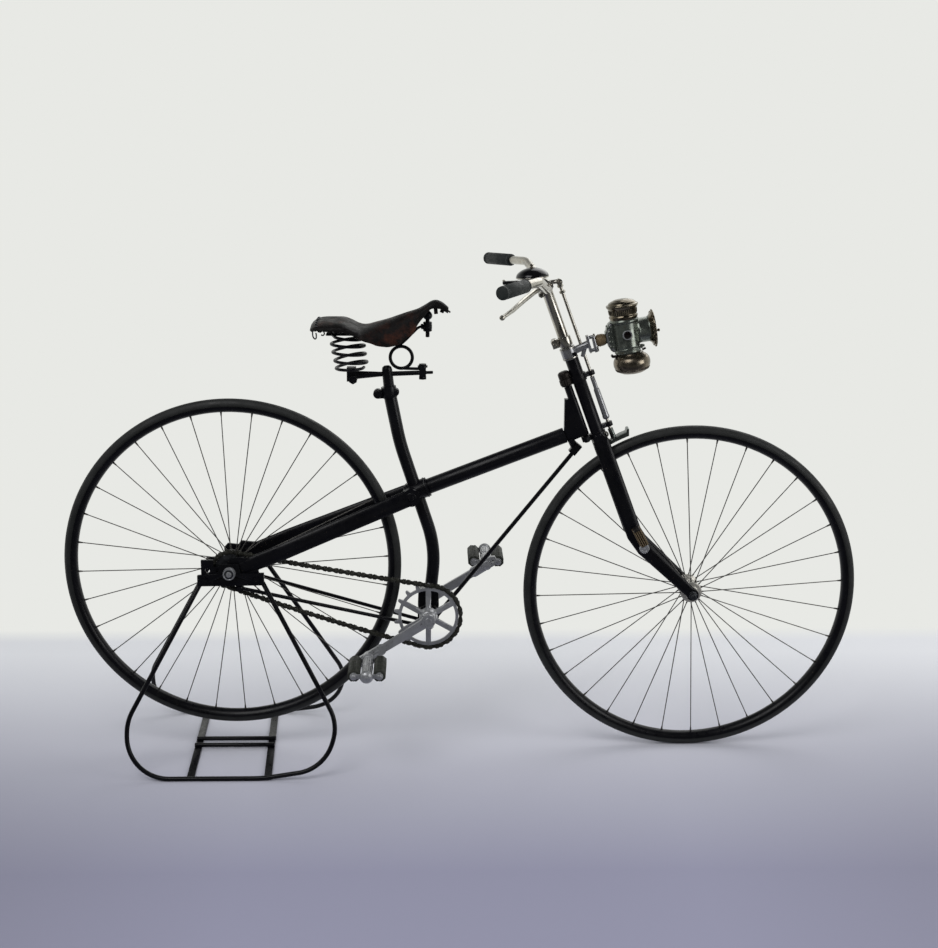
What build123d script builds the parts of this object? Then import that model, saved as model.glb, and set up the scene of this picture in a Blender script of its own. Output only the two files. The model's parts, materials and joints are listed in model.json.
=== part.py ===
from build123d import *
import os
from math import acos, asin, atan2, cos, degrees, hypot, pi, radians, sin, tan

# Cross-frame safety bicycle with an oil lamp, standing on a rear display stand.
# Millimetres. +X is forward, +Z up, -Y the chain side (the rider's right).
# The origin is on the floor, midway between the outer edges of the two wheels.

# ---- driving dimensions -------------------------------------------------------------
wheel_r = 381.0            # 30 in wheels
tyre_half = 13.1           # half the width of the solid tyre, whose section is an octagon
tyre_side = 5.4            # half the length of each side of that octagon
tyre_keel = 14.5           # the tyre's inner edge below its middle, in the bottom of the rim
rim_wall = 3.5             # thickness of the crescent rim under the tyre
rim_lip = 2.5              # the rim's edge below the middle of the tyre
axle_gap = 1040.0          # wheelbase
stand_lift = 61.0          # the stand holds the rear tyre this far off the floor
spokes_per_wheel = 32
spoke_r = 1.1
flange_r = 24.0            # hub flange
flange_y = 30.0            # flange middle, each side
fit = 0.05                 # radial clearance of running fits

front_x, front_z = axle_gap / 2, wheel_r
rear_x, rear_z = -axle_gap / 2, wheel_r + stand_lift

crank_x, crank_z = -78.0, 330.0   # bottom bracket
shell_r, shell_half, shell_bore = 24.0, 33.0, 9.5   # its shell: radius, half width and bore
chain_pitch = 25.4
ring_teeth, sprocket_teeth = 18, 10
chain_y = -45.0            # chain line
tooth_t = 6.0              # thickness of teeth
crank_len = 160.0
crank_angle = 212.5        # right crank, degrees from +X towards +Z

head_tilt = 20.3           # steering axis, degrees back from upright
pivot_x, pivot_z = 243.0, 821.7   # a point of the steering axis, top of the head casting
stem_p = 26.5              # handlebar stem ahead of the pivot axis
column_p, column_r = 28.0, 15.0   # fork column ahead of the pivot axis, and its radius
neck_r = 6.0               # head spindle
upper_lug_u, lower_lug_u = (-50.0, -33.0), (89.0, 101.0)   # levels of the lugs that turn on the spindle

backbone_r = 17.5
backbone_slope = 21.1      # degrees up towards the head
seat_tube_r = 14.3


# ---- helpers ------------------------------------------------------------------------
def rod(p, q, r):
    """Round bar between two points."""
    p, q = Vector(*p), Vector(*q)
    return Solid.make_cylinder(r, (q - p).length, Plane(origin=p, z_dir=q - p))


def cross_bar(x, z, y0, y1, r):
    """Round bar along Y at x, z."""
    return rod((x, y0, z), (x, y1, z), r)


def bent(points, bends, r):
    """Round bar along straight runs joined by arcs; one radius for each inner corner."""
    path = FilletPolyline(*points, radius=bends)
    return sweep(Plane(origin=path @ 0, z_dir=path % 0) * Circle(r), path=path)


def lathe(rows, origin, direction):
    """Solid of revolution about a line; rows are (distance along it, radius)."""
    face = make_face(Plane.XZ * Polyline(*[(r, along) for along, r in rows], close=True))
    return Plane(origin=origin, z_dir=direction).location * revolve(face, Axis.Z)


def turned(rows, x=0.0, z=0.0):
    """Solid of revolution about a Y axle at x, z; rows are (y, radius)."""
    return lathe(rows, (x, 0, z), (0, 1, 0))


def octagon(r):
    """Corners of an octagon of about the area of a circle of radius r."""
    return [(1.05 * r * cos(pi * (i + 0.5) / 4), 1.05 * r * sin(pi * (i + 0.5) / 4)) for i in range(8)]


def plate(outline, y0, y1, holes=()):
    """Flat plate in the XZ plane from y0 to y1; holes are (x, z, radius)."""
    face = make_face(Plane.XZ * Polyline(*outline, close=True))
    body = Pos(0, y1, 0) * extrude(face, y1 - y0, dir=(0, -1, 0))
    for x, z, r in holes:
        body -= cross_bar(x, z, y0 - 1, y1 + 1, r)
    return body


def head(u, p, y=0.0):
    """Point u below the pivot point along the steering axis and p ahead of it."""
    t = radians(head_tilt)
    return (pivot_x + u * sin(t) + p * cos(t), y, pivot_z - u * cos(t) + p * sin(t))


def head_ring(u0, u1, p, r):
    """Cylinder parallel to the steering axis from level u0 to level u1."""
    return rod(head(u0, p), head(u1, p), r)


def slab(centre, size, tilt=0.0):
    """Box turned about Y by tilt degrees (nose up)."""
    return Pos(*centre) * Rot(0, -tilt, 0) * Box(*size)


def blade(stations):
    """Straight-sided loft of oval sections; rows are (x, y, z, depth, thickness, lean)."""
    sections = []
    for x, y, z, depth, thickness, lean in stations:
        t = radians(lean)
        plane = Plane(origin=(x, y, z), x_dir=(cos(t), 0, sin(t)), z_dir=(sin(t), 0, -cos(t)))
        sections.append(plane * Ellipse(depth / 2, thickness / 2))
    return loft(sections, ruled=True)


def tapered(rows):
    """Straight-sided loft of ovals square to their path; rows are (x, y, z, width, height)."""
    at = [Vector(*row[:3]) for row in rows]
    sections = []
    for i, row in enumerate(rows):
        run = at[min(i + 1, len(at) - 1)] - at[max(i - 1, 0)]
        plane = Plane(origin=at[i], x_dir=run.cross(Vector(0, 0, 1)), z_dir=run)
        sections.append(plane * Ellipse(row[3] / 2, row[4] / 2))
    return loft(sections, ruled=True)


nodes = {}


def keep(name, shape):
    nodes[name] = shape
    return shape


# ---- wheels -------------------------------------------------------------------------
tyre_mid = wheel_r - tyre_half
# the tyre's seat in the rim, (y, radius), from one lip to the other
seat = ((tyre_half, tyre_mid - tyre_side), (0, tyre_mid - tyre_keel), (-tyre_half, tyre_mid - tyre_side))


def tyre():
    tread = ((-tyre_half, tyre_mid + tyre_side), (-tyre_side, wheel_r), (tyre_side, wheel_r),
             (tyre_half, tyre_mid + tyre_side))
    return turned(seat + tread)


def rim():
    wide, low = tyre_half + rim_wall, tyre_mid - tyre_keel - rim_wall
    lip, turn = tyre_mid - rim_lip, tyre_mid - tyre_side - 1.9
    outside = ((-tyre_half, lip), (-wide, lip), (-wide, turn), (-2, low), (2, low), (wide, turn), (wide, lip),
               (tyre_half, lip))
    return turned(seat + outside)


def spokes():
    bars = []
    top = tyre_mid - tyre_keel - rim_wall
    for i in range(spokes_per_wheel):
        a = 2 * pi * (i + 0.25) / spokes_per_wheel
        y = flange_y if i % 2 else -flange_y
        root = flange_r - 4
        bars.append(rod((root * cos(a), y, root * sin(a)), ((top + 0.5) * cos(a), 0, (top + 0.5) * sin(a)),
                        spoke_r))
    return Compound(children=bars)


def hub(axle_r, half_width):
    """Barrel with two flanges; rows of (y, radius) for half of it, mirrored."""
    half = ((flange_y - 2.5, 13), (flange_y - 2.5, flange_r), (flange_y + 2.5, flange_r),
            (flange_y + 2.5, 15), (half_width, 13), (half_width, axle_r + fit))
    profile = list(half) + [(-y, r) for y, r in reversed(half)]
    return turned(profile)


def toothed(teeth, rim_width, arms, hub_r, bore_r):
    """Block chain wheel: thick rim, arms and hub, teeth one pitch apart."""
    pitch_r = chain_pitch / (2 * sin(pi / teeth))
    root, tip = pitch_r - 5, pitch_r + 5
    face = Circle(root) - Circle(root - rim_width) if arms else Circle(root)
    face += Circle(hub_r)
    for i in range(arms):
        face += Rot(0, 0, 30 + 60 * i) * Pos((root - 2) / 2, 0) * Rectangle(root - 2, 12)
    for i in range(teeth):
        tooth = Polygon((root - 1, -5), (tip - 2, -3.2), (tip, -1.5), (tip, 1.5), (tip - 2, 3.2),
                        (root - 1, 5), align=None)
        face += Rot(0, 0, 360 * (i + 0.5) / teeth) * tooth
    face -= Circle(bore_r)
    return Pos(0, tooth_t / 2, 0) * extrude(Plane.XZ * face, tooth_t)


front_hub_half, rear_hub_half = 37.0, 37.0
axle_r = 5.0
at_front, at_rear = Pos(front_x, 0, front_z), Pos(rear_x, 0, rear_z)
keep("front_tyre", at_front * tyre())
keep("front_rim", at_front * rim())
keep("front_spokes", at_front * spokes())
keep("front_hub", at_front * hub(axle_r, front_hub_half))
keep("rear_tyre", at_rear * tyre())
keep("rear_rim", at_rear * rim())
keep("rear_spokes", at_rear * spokes())
sprocket = Pos(rear_x, chain_y, rear_z) * toothed(sprocket_teeth, 0, 0, 20, axle_r + fit)
rear_hub = at_rear * hub(axle_r, rear_hub_half)
boss = turned(((chain_y + tooth_t / 2, 16), (-rear_hub_half, 16), (-rear_hub_half, axle_r + fit),
               (chain_y + tooth_t / 2, axle_r + fit)), rear_x, rear_z)
keep("rear_hub", rear_hub + boss)
keep("rear_sprocket", sprocket)

# ---- frame --------------------------------------------------------------------------
slope = radians(backbone_slope)
lug_x, lug_z = -105.0, 611.6          # crossing of backbone and seat tube
end_y, end_t = 58.0, 8.0              # inner face of the rear frame ends, and their thickness
stand_plate_t = 8.0


def on_backbone(x):
    return (x, 0, lug_z + (x - lug_x) * tan(slope))


seat_tube_path = ((-163.5, 0, 836), (-141, 0, 722), (-62, 0, 480), (crank_x, 0, crank_z))
seat_tube = bent(seat_tube_path, [500, 260], seat_tube_r)
bb_space = cross_bar(crank_x, crank_z, -shell_half, shell_half, shell_r)
seat_tube -= bb_space
# lug of the bottom bracket round the end of the seat tube, from the crank axle
bb_lug = ((-20, 0), (-24, 20), (-23, 46), (-16, 53), (16, 53), (23, 46), (24, 20), (20, 0))
bb_shell = bb_space + plate([(crank_x + x, crank_z + z) for x, z in bb_lug], -20, 20)
bb_shell -= cross_bar(crank_x, crank_z, -shell_half - 1, shell_half + 1, shell_bore)

# head casting: round at the front about the pivot axis, running back into the backbone
casting_u, casting_r = 86.0, 9.5      # its lower end, and half its thickness
casting_outline = (head(0, 0)[::2], (225.5, 822), (225.5, 728), (247, 730), head(casting_u, 0)[::2])
casting = head_ring(0, casting_u, 0, casting_r) + plate(casting_outline, -casting_r, casting_r)
casting += head_ring(-30, 0.5, 0, 9.0)
spindle = head_ring(-58, 104, 0, neck_r)
head_casting = casting + spindle
backbone = rod(on_backbone(lug_x), on_backbone(228), backbone_r)
keep("head_casting", head_casting)
backbone -= head_casting
# down stay from the bottom bracket to its eye under the casting, which a neck and a bolt hold
stay_top, stay_bottom, stay_eye = (249, 0, 703), (-62, 0, 312), (251.5, 0, 709)
down_stay = rod(stay_top, stay_bottom, 4.8) + slab(stay_eye, (26, 18, 17), 51)
down_stay += rod(stay_eye, (237, 0, 739), 8) + cross_bar(243, 727, -11, 11, 6)
down_stay -= bb_space
keep("down_stay", down_stay - backbone - head_casting)

# rear fork blades from the crossing lug to the frame ends
blade_rows = ((-112, 29, 606, 38, 15), (-400, 62, 488, 37, 15), (-496, 62, 449, 34, 12))
blades = [blade([(x, side * y, z, d, t, 112.2) for x, y, z, d, t in blade_rows]) for side in (-1, 1)]
lug = rod(on_backbone(-126), on_backbone(-78), 22)
lug += cross_bar(-116, 604, -38, 38, 20)
lug = lug - seat_tube - blades[0] - blades[1]
backbone = backbone - seat_tube - lug
keep("crossing_lug", lug)
keep("backbone", backbone)

end_right = ((-584, 469), (-584, 436), (-545, 424), (-478, 420), (-455, 436), (-462, 472),
             (-500, 476), (-522, 470), (-530, 453), (-557, 453), (-557, 469))
end_holes = ((-570, 445, 5.5), (-547.5, 443.8, 3))
end_left = ((-548, 440), (-545, 424), (-478, 420), (-455, 436), (-462, 474), (-500, 478),
            (-509, 479), (-516, 470), (-540, 473), (-548, 464))
ends = [plate(end_right, -end_y - end_t, -end_y, end_holes), plate(end_left, end_y, end_y + end_t)]
# lower stays, from their eyes under the rear ends to the bottom bracket
eye_x, eye_y, eye_z = -500, 62, 404
stays = []
for side in (-1, 1):
    stay = rod((eye_x, side * eye_y, eye_z), (-96, side * 20, 300), 4.2)
    stay += cross_bar(eye_x, eye_z, side * (end_y - 4), side * (end_y + end_t), 9)
    stays.append(stay - bb_space)
axle_hole = cross_bar(rear_x, rear_z, -90, 90, axle_r)
frame_ends = []
for side, name in ((0, "right"), (1, "left")):
    frame_ends.append(ends[side] - blades[side] - stays[side] - axle_hole)
    keep("rear_fork_" + name, blades[side] - seat_tube)
keep("rear_ends", Compound(children=frame_ends))
keep("seat_tube", seat_tube)
keep("bottom_bracket", bb_shell - seat_tube - down_stay)

# ---- rear axle and display stand ----------------------------------------------------
nut_y = end_y + end_t + stand_plate_t
nut_t = 13.0
axle = cross_bar(rear_x, rear_z, -nut_y - nut_t - 1, nut_y + nut_t + 1, axle_r)
for s in (-1, 1):
    axle += cross_bar(rear_x, rear_z, s * nut_y, s * (nut_y + nut_t), 13.5)
    axle += cross_bar(rear_x, rear_z, s * (rear_hub_half + 12), s * end_y, 11)
keep("rear_axle", axle)

stand_r = 5.2
foot_y, foot_z = 196.0, stand_r
plate_y = end_y + end_t + stand_plate_t / 2
splay_from = 405.0                    # level where the loops start to lean out
splay = (foot_y - plate_y) / (splay_from - foot_z)
# one side of the stand: x, z of the corners of the bent rod, and each corner's radius
loop_rows = ((-585, 418, 0), (-745, 126, 100), (-745, foot_z, 94), (-445, foot_z, 300), (-308, 24, 92),
             (-279, 118, 92), (-448, 418, 0))


def stand_loop(side):
    points = [(x, side * (plate_y + (splay_from - z) * splay), z) for x, z, r in loop_rows]
    return bent(points, [r for x, z, r in loop_rows[1:-1]], stand_r)


plate_outline = ((-592, 411), (-592, 436), (-545, 440), (-540, 462), (-500, 462), (-496, 440), (-444, 441),
                 (-444, 413))
side_plates = []
for i, (side, name) in enumerate(((-1, "right"), (1, "left"))):
    loop = stand_loop(side)
    y0, y1 = sorted((side * (end_y + end_t), side * nut_y))
    side_plate = plate(plate_outline, y0, y1) - axle_hole
    side_plates.append(side_plate)
    keep("stand_loop_" + name, loop - side_plate)
    stays[i] -= side_plate
keep("stand_plates", Compound(children=side_plates))
keep("lower_stays", Compound(children=stays))
bar_w, bar_t = 16.0, 5.0
base = rod((-620, -19, 9), (-436, -19, 9), 5) + rod((-620, 19, 9), (-436, 19, 9), 5)
for x, skew in ((-613, 2.3), (-444.5, 3.1)):
    base += Pos(x, 0, bar_t / 2) * Rot(0, 0, skew) * Box(bar_w, 2 * foot_y - 6, bar_t)
for name in ("right", "left"):
    base -= nodes["stand_loop_" + name]
keep("stand_base", base)

# ---- chain and cranks ---------------------------------------------------------------
ring_pitch_r = chain_pitch / (2 * sin(pi / ring_teeth))
sprocket_pitch_r = chain_pitch / (2 * sin(pi / sprocket_teeth))
chain_h = 11.0
chain_centres = hypot(crank_x - rear_x, crank_z - rear_z)
chain_lean = degrees(atan2(crank_z - rear_z, crank_x - rear_x))
wrap = acos((ring_pitch_r - sprocket_pitch_r) / chain_centres)


def belt(offset):
    """Area inside the pitch line grown by offset, sprocket at the origin."""
    r0, r1 = sprocket_pitch_r + offset, ring_pitch_r + offset
    ax, az = -cos(wrap), sin(wrap)
    corners = ((r0 * ax, -r0 * az), (chain_centres + r1 * ax, -r1 * az),
               (chain_centres + r1 * ax, r1 * az), (r0 * ax, r0 * az))
    return Circle(r0) + Pos(chain_centres, 0) * Circle(r1) + Polygon(*corners, align=None)


def band(y0, y1):
    face = belt(chain_h / 2) - belt(-chain_h / 2)
    flat = Plane.XZ * (Rot(0, 0, chain_lean) * face)
    return Pos(rear_x, y1, rear_z) * extrude(flat, y1 - y0, dir=(0, -1, 0))


# inner faces of the side bands from the chain line, and their thickness
inner, plate_t = tooth_t / 2 + 1, 3.5
chain = band(chain_y - inner - plate_t, chain_y - inner) + band(chain_y + inner, chain_y + inner + plate_t)
run_rise = degrees(asin((ring_pitch_r - sprocket_pitch_r) / chain_centres))
run_length = chain_centres * sin(wrap)
block_start, block_end = 38.0, 47.0    # clear of the teeth at each end of a run
block_count = int((run_length - block_start - block_end) / chain_pitch) + 1
block_step = (run_length - block_start - block_end) / (block_count - 1)
for s in (1, -1):
    lean = chain_lean + s * run_rise
    a, n = radians(lean), radians(lean + s * 90)
    for i in range(block_count):
        d = block_start + i * block_step
        x = rear_x + sprocket_pitch_r * cos(n) + d * cos(a)
        z = rear_z + sprocket_pitch_r * sin(n) + d * sin(a)
        chain += slab((x, chain_y, z), (13, 2 * inner + 1, chain_h - 1), lean)
keep("chain", chain)

chainring = Pos(crank_x, chain_y, crank_z) * toothed(ring_teeth, 7, 6, 21, 8)
chainring += turned(((-67, 8), (-67, 14), (-63, 18), (-50, 20.5), (-48, 20.5), (-48, 8)), crank_x, crank_z)
keep("chainring", chainring)
bb_axle = cross_bar(crank_x, crank_z, -86, 86, 8)
for side in (-1, 1):
    bb_axle += cross_bar(crank_x, crank_z, side * (shell_half + 1), side * (shell_half + 7), 15)
crank_in, crank_out = 68.0, 84.0
crank_reach = 187.0                    # whole length of the arm, past the pedal pin
crank_hub_half, crank_waist_half, crank_pad_half = 11.0, 8.5, 11.5   # half depth of the arm


def crank_arm(side):
    a = radians(crank_angle + (0 if side < 0 else 180))
    cx, cz = crank_x + crank_len * cos(a), crank_z + crank_len * sin(a)
    y0, y1 = side * crank_in, side * crank_out
    arm = cross_bar(crank_x, crank_z, y0, y1, 15) + cross_bar(cx, cz, y0, y1, 12)
    outline = []
    edge = ((0, crank_hub_half), (118, crank_waist_half), (124, crank_pad_half), (178, crank_pad_half),
            (crank_reach, 6))
    for out, half in edge + tuple((out, -half) for out, half in reversed(edge)):
        outline.append((crank_x + out * cos(a) - half * sin(a), crank_z + out * sin(a) + half * cos(a)))
    hole = (crank_x + (crank_reach - 9) * cos(a), crank_z + (crank_reach - 9) * sin(a), 4)
    arm += plate(outline, *sorted((side * (crank_in + 3.5), side * (crank_out - 1.5))), (hole,))
    return arm - cross_bar(crank_x, crank_z, y0 - side, y1 + side, 8), (cx, cz)


pedal_axle_r = 6.0
pedal_in, pedal_out, pedal_plate = 96.0, 196.0, 4.0   # inner faces of the end plates, and their thickness
block_x = 28.0             # each rubber block before or behind the pin
block_section = ((-6, -12.5), (6, -12.5), (13.5, -5.5), (13.5, 5.5), (6, 12.5), (-6, 12.5), (-13.5, 5.5),
                 (-13.5, -5.5))


def pedal(side, cx, cz):
    """Barrel, dog-bone end plates with bolts and a domed cap, bored for its pin."""
    body = cross_bar(cx, cz, side * pedal_in, side * pedal_out, 11)
    for y in (pedal_in, pedal_out):
        lo, hi = sorted((side * y, side * (y + pedal_plate)))
        body += slab((cx, (lo + hi) / 2, cz), (2 * block_x, pedal_plate, 10))
        for dx, r in ((-block_x, 8.5), (0, 14), (block_x, 8.5)):
            body += cross_bar(cx + dx, cz, lo, hi, r)
    outer = side * (pedal_out + pedal_plate)
    for dx in (-block_x, block_x):
        body += cross_bar(cx + dx, cz, outer, outer + side * 2.5, 4.5)
    cap = ((0, 0), (0, 13.8), (4, 14), (8, 11.5), (11, 7), (12, 2.5), (12, 0))
    body += lathe(cap, (cx, outer, cz), (0, side, 0))
    return body - cross_bar(cx, cz, side * (pedal_in - 6), side * (pedal_out + 2), pedal_axle_r + fit)


def pedal_blocks(side, cx, cz):
    lo, hi = sorted((side * (pedal_in + pedal_plate), side * pedal_out))
    return [plate([(cx + dx + x, cz + z) for x, z in block_section], lo, hi) for dx in (-block_x, block_x)]


for side, name in ((-1, "right"), (1, "left")):
    arm, (cx, cz) = crank_arm(side)
    pin = cross_bar(cx, cz, side * crank_in, side * (pedal_out + 1), pedal_axle_r)
    keep("crank_" + name, arm + pin)
    keep("pedal_" + name, pedal(side, cx, cz))
    keep("pedal_" + name + "_blocks", Compound(children=pedal_blocks(side, cx, cz)))
keep("crank_axle", bb_axle)

# ---- saddle -------------------------------------------------------------------------
pillar_at, pillar_up = (-163, 0, 832), (-6.5, 0, 65)
pillar = lathe(((0, 0), (0, 12.6), (20, 12), (56, 11.5), (62, 10), (65, 6), (65, 0)), pillar_at, pillar_up)
clamp = rod((-162.5, 0, 826), (-166, 0, 850), 16.8)
clamp += cross_bar(-189, 834, -8, 8, 10.5) + slab((-177, 0, 834), (24, 16, 19), 4)
clamp += cross_bar(-150, 838, -9, 9, 8)
keep("seat_pillar", pillar - seat_tube)
keep("seat_clamp", clamp - seat_tube - pillar)

saddle_frame = lathe(((0, 0), (0, 9.5), (58, 5.5), (158, 5), (161, 3.5), (174, 3.5), (174, 0)),
                     (-242, 0, 875.5), (170, 0, 6))
saddle_frame += slab((-247, 0, 878), (20, 26, 30)) + cross_bar(-243, 868, -17, 17, 9)
saddle_frame += slab((-90, 0, 883), (15, 26, 20)) + rod((-90, 0, 866), (-90, 0, 900), 6)
saddle_frame += rod((-90, 0, 893), (-90, 0, 897), 11)
saddle_frame -= pillar
keep("saddle_frame", saddle_frame)

# rear spring: its wire passes these outermost points (x, z), from right to left and back
coil_points = ((-216, 893), (-284, 891), (-209, 905), (-287, 908), (-212, 923), (-291, 927), (-214, 941),
               (-294, 945), (-220, 956), (-290, 962))
coil_wire, coil_reach = 3.4, 34.5


def coil():
    """Wire of octagonal section, in half turns that lie flat along Y and climb along X."""
    path, out = [], []
    for i in range(len(coil_points) - 1):
        inset = coil_wire if i % 2 else -coil_wire
        x0, x1 = coil_points[i][0] + inset, coil_points[i + 1][0] - inset
        z0, z1 = coil_points[i][1], coil_points[i + 1][1]
        last = 1 if i == len(coil_points) - 2 else 0
        for k in range(8 + last):
            turn = pi * k / 8
            part = (1 - cos(turn)) / 2
            y = coil_reach * sin(turn) * (1 if i % 2 else -1)
            path.append(Vector(x0 + (x1 - x0) * part, y, z0 + (z1 - z0) * part))
            out.append(Vector((x0 - x1) * cos(turn) / 2, y, 0))
    sections = []
    for i, point in enumerate(path):
        run = path[min(i + 1, len(path) - 1)] - path[max(i - 1, 0)]
        at = Plane(origin=point, x_dir=out[i], z_dir=run)
        sections.append(at * Polygon(*octagon(coil_wire), align=None))
    return loft(sections, ruled=True)


ring_x, ring_z, ring_r, ring_wire = -137.0, 915.0, 24.3, 3.8
ring = turned([(y, ring_r + r) for y, r in octagon(ring_wire)], ring_x, ring_z)
ring += rod((ring_x, 0, ring_z - ring_r), (-84, 0, 889.5), 3.3)
keep("saddle_ring_spring", ring - saddle_frame - pillar)
# saddle leather: x, half width, lower edge z, crown z
leather_rows = ((-332, 55, 985, 992), (-312, 76, 984, 996), (-265, 80, 984, 998), (-240, 78, 975, 991),
                (-222, 70, 967, 986), (-194, 63, 953, 992), (-167, 58, 947, 999), (-144, 52, 951, 1007),
                (-122, 44, 963, 1015), (-101, 34, 987, 1022), (-84, 22, 1014, 1032), (-62, 16, 1026, 1042),
                (-47, 12, 1019, 1036), (-32, 9, 1011, 1024))


def arches(shrink):
    faces = []
    for x, w, low, top in leather_rows:
        a, b = (x, -w + shrink, low), (x, w - shrink, low)
        edge = ThreePointArc(a, (x, 0, top - shrink), b) + Line(b, a)
        faces.append(make_face(edge))
    return faces


leather = loft(arches(0), ruled=True) - Pos(0, 0, -0.5) * loft(arches(4), ruled=True)
keep("saddle_leather", leather)
spring = coil() - saddle_frame + slab((-262, 0, 968), (78, 52, 5)) + rod((-284, 0, 962), (-284, 0, 970), 5)
keep("saddle_springs", max((spring - leather).solids(), key=lambda piece: piece.volume))
nose_x = -79
nose = lathe(((960, 0), (960, 4.3), (973, 4.3), (973, 10), (994, 10), (994, 4.5), (999, 4.5), (1001, 8),
              (1005, 10.5), (1010, 10.5), (1015, 8.5), (1019, 4), (1019, 0)), (nose_x, 0, 0), (0, 0, 1))
nose += bent(((nose_x, 0, 984), (-100, 0, 981), (-128, 0, 952), (-150, 0, 941)), [25, 30], 3)
keep("saddle_nose_bolt", nose - leather - nodes["saddle_ring_spring"])

# ---- steering -----------------------------------------------------------------------
crown_u = 105.0
fork = head_ring(-87, crown_u + 16, column_p, column_r)
for (u0, u1), eye_r in ((upper_lug_u, 13), (lower_lug_u, 10.5)):
    fork += head_ring(u0, u1, 0, eye_r)
    fork += slab(head((u0 + u1) / 2, stem_p / 2), (stem_p, 16, u1 - u0), head_tilt)
fork += head_ring(*upper_lug_u, column_p, 18) + head_ring(lower_lug_u[0], crown_u + 15, column_p, 18)
fork += rod(head(crown_u, stem_p, -36), head(crown_u, stem_p, 36), 15)
fork -= head_ring(-70, 120, 0, neck_r + fit)
# fork blades: level u, p ahead, y, depth, thickness, turn forward of the steering axis
fork_rows = ((crown_u, 28, 29, 36, 15, 0), (335, 29, 37, 36, 15, 6), (372, 38.5, 39, 34, 14, 22),
             (507, 106, 49, 25, 10, 25))
tip_in, tip_out = 44.0, 54.0          # faces of the blades' eyes on the front axle
fork_blades = []
for side in (-1, 1):
    rows = []
    for u, p, y, depth, thickness, turn in fork_rows:
        x, _, z = head(u, p)
        rows.append((x, side * y, z, depth, thickness, head_tilt + turn))
    one = blade(rows)
    one += cross_bar(front_x, front_z, side * tip_in, side * tip_out, 13.5)
    one -= cross_bar(front_x, front_z, side * (tip_in - 4), side * (tip_out + 6), axle_r)
    fork_blades.append(one)
fork = fork - fork_blades[0] - fork_blades[1]
keep("fork_column", fork)
keep("fork_blade_right", fork_blades[0])
keep("fork_blade_left", fork_blades[1])
front_axle = cross_bar(front_x, front_z, -70, 70, axle_r)
for s in (-1, 1):
    front_axle += cross_bar(front_x, front_z, s * tip_out, s * (tip_out + 8), 9)
    front_axle += cross_bar(front_x, front_z, s * (front_hub_half + 0.5), s * (tip_in - 1), 9)
keep("front_axle", front_axle - fork_blades[0] - fork_blades[1])
keep("head_cap_nut", head_ring(-66, -50.2, 0, 12.5) - head_ring(-60, -40, 0, neck_r + fit))
rod_p = stem_p + 31                 # brake rod ahead of the pivot axis
brake_rod_r = 3.6
bar_r = 9.5
bar_u = -258                        # level of the handlebar in the head of the stem
bx, _, bz = head(bar_u, stem_p)
collar = head_ring(-114, -87.2, stem_p, 17)
stem = head_ring(-250, -114.2, stem_p, 12)
stem += head_ring(-138, -118, stem_p, 15.5) + slab(head(-128, 9), (24, 12, 16), head_tilt)
stem += cross_bar(201, 948, -11, 11, 8)
stem += cross_bar(bx, bz, -22, 22, 15)
stem += rod((185, 0, 1080), (206, 0, 1083), 5) + cross_bar(208.5, 1082, -7, 7, 7)
stem -= cross_bar(bx, bz, -30, 30, bar_r)
grip_end = (67.6, 366, 1099)
elbow = (150, 220, 1106)            # bend between the grip and the middle of the bar
points = [grip_end, elbow, (bx, 80, bz), (bx, -80, bz), (elbow[0], -elbow[1], elbow[2]),
          (grip_end[0], -grip_end[1], grip_end[2])]
bar = bent(points, [70, 90, 90, 70], bar_r)
grip_len, grip_r = 108, 14
grips = []
for side in (-1, 1):
    e = Vector(grip_end[0], side * grip_end[1], grip_end[2])
    d = (Vector(elbow[0], side * elbow[1], elbow[2]) - e).normalized()
    grips.append(rod(e - d * 4, e + d * (grip_len - 4), grip_r) - rod(e, e + d * 140, bar_r))
keep("handlebar", bar)
keep("grips", Compound(children=grips))

# brake: lever under the right grip, rod down the front of the column, spoon on the tyre
brake_rod = rod(head(-255, rod_p), head(100, rod_p), brake_rod_r)
brake_rod += lathe(((0, 0), (0, 5), (28, 5), (31, 6.5), (95, 7.5), (101, 6), (101, 0)), head(-33, rod_p),
                   Vector(*head(66, rod_p)) - Vector(*head(-33, rod_p)))
guide_u = (-42, 81)
guides = [slab(head(u, stem_p + 22), (26, 10, 9), head_tilt) + head_ring(u - 5, u + 5, rod_p, 9)
          for u in guide_u]
guide = guides[0] + guides[1]
keep("handlebar_stem", stem - brake_rod)
keep("brake_guides", guide - brake_rod - fork)
keep("brake_rod", brake_rod)
spoon_r, spoon_t = 390.0, 8.0       # inner radius about the front axle, and thickness
spoon_rows = []                     # (degrees about the axle, height over the inner radius), as x, z
for angle, r in ((119.4, 0), (117.3, 0), (115, 0), (112.6, 0), (111.8, 15), (112.5, 15.5),
                 (113.1, spoon_t + 1), (115, spoon_t + 1), (117.3, spoon_t), (119.4, spoon_t - 3)):
    t = radians(angle)
    spoon_rows.append((front_x + (spoon_r + r) * cos(t), front_z + (spoon_r + r) * sin(t)))
link = rod(head(92, rod_p), head(121, rod_p + 1), 6)
link -= cross_bar(front_x, front_z, -30, 30, spoon_r + spoon_t / 2)
spoon = plate(spoon_rows, -15, 15) + link
keep("brake_spoon", spoon - brake_rod - guide - fork)
lever = tapered(((166, -30, 1072, 8, 13), (150, -60, 1066, 8, 13), (123.5, -125, 1055.5, 9, 13),
                 (97.4, -195, 1044, 9, 11), (73, -262, 1037.5, 9, 8)))
lever += lathe(((-6, 0), (-6, 3), (-3, 5.5), (3, 5.5), (6, 3), (6, 0)), (73, -262, 1037.5), (-24, -67, -6))
lever += cross_bar(170, 1073, -22.2, -36, 9)
keep("brake_lever", lever - bar - stem)
bell_x, bell_y, bell_z = 141.8, -125.0, 1104.5
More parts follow.
